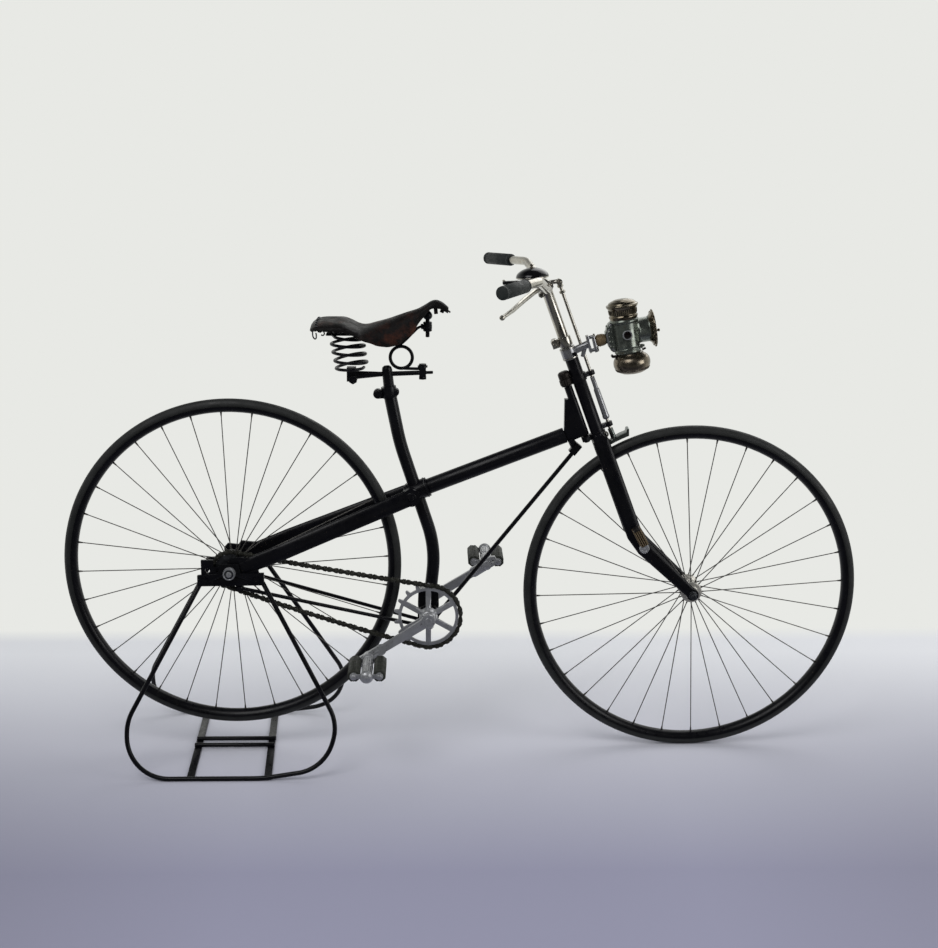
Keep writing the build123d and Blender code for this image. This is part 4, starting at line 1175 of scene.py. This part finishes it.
class BICYCLE_OT_controls(Dresser, bpy.types.Operator):
    """Makes the grips, bell, brake rod, head cap and the bolts of the steering"""
    bl_idname = "bicycle.controls"
    bl_label = "Handlebar, bell and brake"

    def make(self, context):
        self.grips()
        self.bell()
        self.brake_rod()
        self.head_cap()
        self.bolts()

    def grips(self):
        """Rubber grips, ringed near their ends."""
        shape = Shape()
        ends = ((-4, 0.01), (-4, 9.2), (-3.6, 10.2), (-3, 10.6), (-3, 11.8), (-2.4, 13), (-1, 13.8),
                (1, 14), (3.4, 14), (4, 13.4), (5, 13.4), (5.6, 14), (7.4, 14), (8, 13.4), (9, 13.4),
                (9.6, 14))
        neck = ((96.4, 14), (97, 13.3), (98, 13.3), (98.6, 14), (101, 14), (103, 13.4), (104, 11.8),
                (104.2, 9.6))
        for side in (-1, 1):
            start = mirrored(GRIP_END, side)
            shape.spun(ends + neck, start, mirrored(ELBOW, side) - start, 48)
        shape.piece("handlebar_grips", "steering", "grip_rubber", ("grips",), 50)

    def bell(self):
        """Dome with its lever, and the base that clamps it to the handlebar."""
        dome = Shape()
        dome.spun(((0, 34.2), (0.6, 34.6), (3, 34.6), (5.5, 33.9), (8, 32.4), (11, 29.6), (14, 25.8),
                   (16.5, 21.2), (18.5, 15.8), (20, 10.5), (20.8, 6), (21, 3), (19.6, 3), (18.4, 9.5),
                   (17, 15), (15, 20), (12.4, 24.6), (9.4, 28.4), (6.4, 31), (3, 32.9), (0, 33.2)), BELL,
                  BELL_UP, 64, True)
        dome.block(BELL + Vector((-46, 0, -11)), (34, 10.8, 7.6), Matrix.Rotation(radians(-3), 4, "Y"), 2.2)
        dome.bar(BELL + Vector((-32, 0, -10.5)), BELL + Vector((-8, 0, -10)), 3.9)
        dome.piece("bell_dome", "steering", "bell_steel", ("bell",))
        base = Shape()
        base.spun(((-18, 0.01), (-18, 10.4), (-17, 12), (-9, 12), (-7.6, 12.8), (-6.4, 12.8), (-5.2, 12),
                   (-3, 13), (-1.4, 20), (-0.4, 29), (-0.6, 33.4), (0.2, 34.9), (1.4, 35), (2.2, 34.7),
                   (2.2, 32), (0.8, 28), (0.8, 0.01)), BELL, BELL_UP, 64)
        base.spun(((19.5, 0.01), (19.5, 4.4), (21.6, 5.4), (22.4, 4.2), (23.4, 3.2), (25, 3.4), (26.6, 4.6),
                   (28, 4.4), (29, 2.8), (29.2, 0.01)), BELL, BELL_UP, 28)
        base.bar(BELL + Vector((0, 0, -13)), (169, BELL.y, 1084), 7.6)
        slope = Vector((152, -220, 1106)) - Vector((169, -80, 1083))
        base.spun(((-8, 9.6), (-8, 12.2), (-7, 13.2), (7, 13.2), (8, 12.2), (8, 9.6)), (165.6, BELL.y, 1088),
                  slope, 40)
        base.nut((181, BELL.y - 4, 1088), (185.5, BELL.y - 4, 1089), 9)
        base.ball(BELL + Vector((-60, 0, -7)), (3.4, 4.4, 2.4), 16)
        base.piece("bell_base", "steering", "nickel")

    def brake_rod(self):
        """Rod down the front of the column, with its sleeve."""
        shape = Shape()
        shape.bar(head(-255, ROD_AHEAD), head(100, ROD_AHEAD), 3.6)
        for u in LOCK_NUTS:
            shape.nut(head(u, ROD_AHEAD), head(u + 6, ROD_AHEAD), 12)
        shape.piece("brake_rod_wire", "steering", "nickel", ("brake_rod",))
        sleeve = Shape()
        sleeve.spun(((0, 3.5), (0, 4.4), (0.8, 5), (27, 5), (28.4, 5.4), (31, 6.5), (33, 6.7), (92, 7.4),
                     (94, 7.9), (96, 8), (98, 7.9), (100, 7), (101, 5.8), (101, 3.5)),
                    head(SLEEVE_TOP, ROD_AHEAD), -steer_axis, 40, True)
        sleeve.piece("brake_rod_sleeve", "steering", "dull_nickel")

    def head_cap(self):
        """Fluted cap on the head spindle, over the upper lug."""
        shape = Shape()
        down = -steer_axis
        shape.spun(((-66, 0.01), (-66, 8.4), (-65.4, 10), (-64, 11.6), (-61.6, 12.9), (-58.6, 13.4),
                    (-54, 13.4), (-51.6, 13), (-50.3, 12.6), (-50.2, 0.01)), head(0, 0), down, 48)
        shape.spun(((-50, 12.6), (-49.6, 13.6), (-48, 14.1), (-37, 14.1), (-35, 13.6), (-34, 12.8),
                    (-33.6, 12.2)), head(0, 0), down, 48)
        for a in around(16, 0.5):
            out = steer_ahead * cos(a) + Vector((0, 1, 0)) * sin(a)
            shape.bar(head(-62.6, 0) + out * 11.9, head(-51.6, 0) + out * 12.5, 1.4, 1.4, 8)
            shape.bar(head(-47.6, 0) + out * 13.5, head(-37, 0) + out * 13.5, 1.4, 1.4, 8)
        shape.piece("head_cap", "steering", "bronzed", ("head_cap_nut",))

    def bolts(self):
        """Nuts and pinch bolts of the stem, the collar, the lugs and the crown."""
        shape = Shape()
        for side in (-1, 1):
            shape.spun(((10.6, 8.1), (11.6, 8.1), (12.2, 7.4), (12.2, 4.6), (11.2, 3.8), (10.2, 3.6)),
                       STEM_EAR, (0, side, 0), 32, True)
            shape.nut(head(PINCH_LEVEL, COLUMN - 15, side * 5), head(PINCH_LEVEL, COLUMN - 15, side * 12), 11)
            x, z = STEM_LUG
            shape.bar((x, side * 7, z), (x, side * 9.6, z), 4.6, 3.4, 20)
        shape.bar(head(PINCH_LEVEL, COLUMN - 15, -12), head(PINCH_LEVEL, COLUMN - 15, 15), 3.2)
        for u in HEAD_RINGS:
            shape.spun(((-1.4, 17.1), (-0.8, 17.8), (0.8, 17.8), (1.4, 17.1)), head(u, COLUMN), steer_axis,
                       40)
        shape.spun(((9.6, 3.2), (9.6, 6.6), (11, 7.2), (12.4, 6.4), (12.4, 3.2)), CROWN_EYE, (0, -1, 0), 32,
                   True)
        shape.piece("steering_bolts", "steering", "nickel")
        eyes = Shape()
        for u in GUIDE_LEVELS:
            for side in (-1, 1):
                eyes.nut(head(u, COLUMN + 19.4, side * 4.6), head(u, COLUMN + 19.4, side * 9.2), 9)
        eyes.bar(head(95, 4, -10), head(95, 4, -15), 5.6, 4.8, 20)
        eyes.piece("lug_bolts", "steering", "dark_steel")


# ---- pedals and cranks --------------------------------------------------------------
CRANK_ANGLE, CRANK_LEN = 212.5, 160.0
EYE_X = 28.0              # each rubber block before or behind the pedal pin
PEDAL_IN, PEDAL_OUT = 100.2, 195.8      # a block's ends, out from the middle of the bicycle
GROOVE = 1.3              # depth of the blocks' grooves


class BICYCLE_OT_pedals(Dresser, bpy.types.Operator):
    """Makes the rubber blocks, the fluted barrels, the nuts and the crank bosses"""
    bl_idname = "bicycle.pedals"
    bl_label = "Pedals and cranks"

    def make(self, context):
        for side, name in ((-1, "right"), (1, "left")):
            a = radians(CRANK_ANGLE + (0 if side < 0 else 180))
            along = Vector((cos(a), 0, sin(a)))
            pin = crank_axle + along * CRANK_LEN
            self.blocks(name, side, pin)
            self.cage(name, side, pin)
            self.boss(name, side, along)

    def blocks(self, name, side, pin):
        """Two grooved rubber blocks on their bolts."""
        shape = Shape()
        faces = ((-6, -12.5), (6, -12.5), (13.5, -5.5), (13.5, 5.5), (6, 12.5), (-6, 12.5), (-13.5, 5.5),
                 (-13.5, -5.5))
        outline = []
        for (x0, z0), (x1, z1) in zip(faces, faces[1:] + faces[:1]):
            outline.append((x0, z0))
            if hypot(x1 - x0, z1 - z0) > 10.5:
                for part, depth in ((0.28, 0), (0.34, GROOVE), (0.4, 0), (0.6, 0), (0.66, GROOVE), (0.72, 0)):
                    x, z = x0 + (x1 - x0) * part, z0 + (z1 - z0) * part
                    shrink = 1 - depth / hypot(x, z)
                    outline.append((x * shrink, z * shrink))
        y0, y1 = sorted((side * PEDAL_IN, side * PEDAL_OUT))
        for dx in (-EYE_X, EYE_X):
            shape.prism([(pin.x + dx + x, pin.z + z) for x, z in outline], y0, y1, 0.7)
        shape.piece("pedal_" + name + "_rubber", "pedal_" + name, "pedal_rubber",
                    ("pedal_" + name + "_blocks",))

    def cage(self, name, side, pin):
        """Flutes round the barrel, collars, and a nut on each block's bolt."""
        shape = Shape()
        middle_at = Vector((pin.x, 0, pin.z))
        out = Vector((0, side, 0))
        for a in around(14):
            ray = Vector((cos(a), 0, sin(a)))
            shape.bar(middle_at + out * 106 + ray * 10.4, middle_at + out * 190 + ray * 10.4, 1.7, 1.7, 8)
        for y in (101, 148, 194):
            shape.spun(((-3, 10.8), (-2.6, 12), (-1.6, 12.7), (1.6, 12.7), (2.6, 12), (3, 10.8)),
                       middle_at + out * y, out, 36)
        for dx in (-EYE_X, EYE_X):
            at = middle_at + Vector((dx, 0, 0))
            shape.spun(((200, 8), (200.6, 7.6), (201.4, 7.2), (201.8, 5.6), (203.4, 5.2), (204.6, 3.8),
                        (205, 0.01)), at, out, 24)
            shape.nut(at + out * 96, at + out * 92.2, 11)
        shape.spun(((200, 14.2), (200.8, 14.9), (202, 14.9), (203, 14.3)), middle_at, out, 48)
        shape.spun(((211.2, 4.4), (212.4, 3.6), (212.8, 2.2), (212.8, 0.01)), middle_at, out, 20)
        shape.piece("pedal_" + name + "_fittings", "pedal_" + name, "bright_steel")

    def boss(self, name, side, along):
        """Rounded crank boss with the axle's end, the cotter pin and the pedal pin's nut."""
        shape = Shape()
        out = Vector((0, side, 0))
        shape.spun(((66.8, 13), (67.4, 14.9), (68.4, 15.6), (82.6, 15.6), (84, 14.8), (84.4, 13.2),
                    (84.2, 10.4), (84, 8.6), (84.9, 8.2), (86.2, 7), (86.2, 3), (84.8, 2.4), (84.8, 0.01)),
                   crank_axle, out, 48)
        cross = Vector((-along.z, 0, along.x))
        mid = crank_axle + out * 76 + along * 3
        shape.bar(mid - cross * 18, mid + cross * 18, 3.4, 3.8, 20)
        shape.nut(mid + cross * 15.2, mid + cross * 19.2, 10)
        pin = crank_axle + along * CRANK_LEN
        shape.nut(pin + out * 67.8, pin + out * 62.4, 19)
        shape.spun(((82.4, 11.9), (83.4, 12.6), (87, 12.6), (88, 11.8), (88.6, 8), (94, 7.4), (95.6, 6.6)),
                   pin, out, 36)
        for gap in (-23, 9):
            shape.tube([pin + out * 82.8 + along * (gap + 7 * cos(b) + (0 if cos(b) < 0 else 2)) +
                        cross * 3.6 * sin(b) for b in around(16)], 0.9, closed=True, sides=8, steps=3)
        shape.piece("crank_" + name + "_boss", "crank", "bright_steel")


# ---- small fittings -----------------------------------------------------------------
FOOTREST, FOOTREST_BOLT = (393.5, 73, 524), (402, 0, 500.5)
FOOTREST_TURN = Matrix.Rotation(radians(62), 4, "Y")
# x and z, or x, y and z, of the frame's bolts
STAY_BOLT, REAR_END_BOLTS, FORK_END_PIN = (243, 727), ((-575, 424), (-460, 426)), (-500, 404)
LUG_BOLT, CROSSING, BACKBONE_RISE = (-116, 0, 604), (-102, 0, 612.8), radians(21.1)


class BICYCLE_OT_fittings(Dresser, bpy.types.Operator):
    """Makes the axle nuts, the footrests and the bolts of the frame"""
    bl_idname = "bicycle.fittings"
    bl_label = "Axle nuts, footrests and bolts"

    def make(self, context):
        self.axle_nuts()
        self.footrests()
        self.frame_bolts()

    def axle_nuts(self):
        """Nuts of the rear axle, and washers, nuts and ends of the front one."""
        shape = Shape()
        for side in (-1, 1):
            shape.spun(((73.8, 13.2), (74.4, 13.9), (85.6, 13.9), (87.2, 12.9), (87.4, 11), (86.9, 10.5),
                        (86.9, 6.4), (88.2, 5.9), (88.8, 4.6), (88.8, 1.6), (88, 1.2), (88, 0.01)),
                       rear_axle, (0, side, 0), 48)
        shape.piece("rear_axle_nuts", "frame", "bright_steel")
        front = Shape()
        for side in (-1, 1):
            out = Vector((0, side, 0))
            front.spun(((53.9, 8.6), (54.2, 9.6), (55.4, 9.6), (55.8, 8.6)), front_axle, out, 40)
            front.nut(front_axle + out * 55.2, front_axle + out * 63, 16.4, 0.9)
            front.spun(((63, 6), (64.6, 5.8), (65.2, 5.2), (69.6, 5.1), (70.4, 4.2), (70.6, 0.01)),
                       front_axle, out, 28)
        front.piece("front_axle_nuts", "steering", "dark_steel")

    def footrests(self):
        """Ribbed pad and its bolt on each fork blade."""
        pad, ridges, bolt = Shape(), Shape(), Shape()
        for side in (-1, 1):
            centre = mirrored(FOOTREST, side)
            pad.block(centre, (42, 37.4, 17), FOOTREST_TURN, 3.0)
            place = Matrix.Translation(centre) @ FOOTREST_TURN
            for across in (-6.6, -2.2, 2.2, 6.6):
                y = side * 18.6
                ridges.bar(place @ Vector((-18.5, y, across)), place @ Vector((18.5, y, across)), 1.3, 1.3,
                           10)
            for k in range(7):
                y = -15 + 5 * k
                for face in (-8.3, 8.3):
                    ridges.bar(place @ Vector((-19, y, face)), place @ Vector((19, y, face)), 1.5, 1.5, 10)
            bolt.spun(((44, 6.9), (83.6, 6.9), (84, 9.8), (84.6, 10.8), (89.6, 10.8), (91, 9.8), (91.2, 6.6),
                       (90.6, 6), (90.6, 3), (91.4, 2.4), (91.4, 0.01)), FOOTREST_BOLT, (0, side, 0), 40)
        pad.piece("footrest_pads", "steering", "bronzed", ("footrests",))
        ridges.piece("footrest_ridges", "steering", "pad_brass")
        bolt.piece("footrest_bolts", "steering", "bright_steel")

    def frame_bolts(self):
        """Bolts of the crossing lug, the stay, the rear ends and the bottom bracket, and the lug's rings."""
        shape = Shape()
        nuts = [(STAY_BOLT, 10.6, 14.6, 12)] + [(bolt, 74, 78.4, 13) for bolt in REAR_END_BOLTS]
        for side in (-1, 1):
            shape.spun(((37.6, 12.4), (39, 12), (40, 10.4), (40.4, 7.2), (42.6, 6.6), (44.2, 5),
                        (44.8, 0.01)), LUG_BOLT, (0, side, 0), 32)
            for (x, z), inner, outer, across in nuts:
                shape.nut((x, side * inner, z), (x, side * outer, z), across)
            x, z = FORK_END_PIN
            shape.bar((x, side * 66, z), (x, side * 72, z), 7, 6, 24)
        along = (cos(BACKBONE_RISE), 0, sin(BACKBONE_RISE))
        for rows in (((-22, 22.1), (-21.2, 23.3), (-18.8, 23.3), (-18, 22.1)),
                     ((18, 22.1), (18.8, 23.3), (21.2, 23.3), (22, 22.1))):
            shape.spun(rows, CROSSING, along, 48)
        for side in (1, -1):
            shape.spun(((32.4, 20), (33.2, 24.4), (35.2, 24.4), (36.4, 22.6), (36.4, 15.2)), crank_axle,
                       (0, side, 0), 48)
        shape.piece("frame_bolts", "frame", "enamel")


# ---- frame --------------------------------------------------------------------------
class BICYCLE_OT_frame(Dresser, bpy.types.Operator):
    """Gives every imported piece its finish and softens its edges"""
    bl_idname = "bicycle.frame"
    bl_label = "Frame and fittings"

    def make(self, context):
        edge = context.scene.bicycle_sizes.edge * MM
        for name, obj in frame["nodes"].items():
            obj.data.materials.clear()
            obj.data.materials.append(FINISHES[NODE_FINISHES.get(name, CAD_FINISH[name])]())
            weld = obj.modifiers.new("weld", "WELD")
            weld.merge_threshold = 0.00001
            bevel = obj.modifiers.new("soft edges", "BEVEL")
            bevel.width, bevel.segments, bevel.limit_method = edge, 2, "ANGLE"
            bevel.angle_limit = SHARP
            obj.data.shade_smooth()


OPERATORS = [BICYCLE_OT_stage, BICYCLE_OT_frame, BICYCLE_OT_wheels, BICYCLE_OT_chain, BICYCLE_OT_saddle,
             BICYCLE_OT_lamp, BICYCLE_OT_controls, BICYCLE_OT_pedals, BICYCLE_OT_fittings]


class BICYCLE_PT_panel(bpy.types.Panel):
    """Lists the operators, the sizes and the colours"""
    bl_idname = "BICYCLE_PT_panel"
    bl_label = "Bicycle"
    bl_space_type = "VIEW_3D"
    bl_region_type = "UI"
    bl_category = "Bicycle"

    def draw(self, context):
        for one in OPERATORS:
            self.layout.operator(one.bl_idname)
        for group in (context.scene.bicycle_sizes, context.scene.bicycle_colours):
            for key in group.__annotations__:
                self.layout.prop(group, key)


CLASSES = [BicycleColours, BicycleSizes, *OPERATORS, BICYCLE_PT_panel]


def register():
    for one in CLASSES:
        bpy.utils.register_class(one)
    bpy.types.Scene.bicycle_colours = bpy.props.PointerProperty(type=BicycleColours)
    bpy.types.Scene.bicycle_sizes = bpy.props.PointerProperty(type=BicycleSizes)


def unregister():
    del bpy.types.Scene.bicycle_sizes
    del bpy.types.Scene.bicycle_colours
    for one in reversed(CLASSES):
        bpy.utils.unregister_class(one)


def main():
    register()
    for one in OPERATORS:
        group, action = one.bl_idname.split(".")
        getattr(getattr(bpy.ops, group), action)()
    boxes = {"cad": cad_box, "visual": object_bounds()}
    {name: [list(corner) for corner in box] for name, box in boxes.items()}


if __name__ == "__main__":
    main()
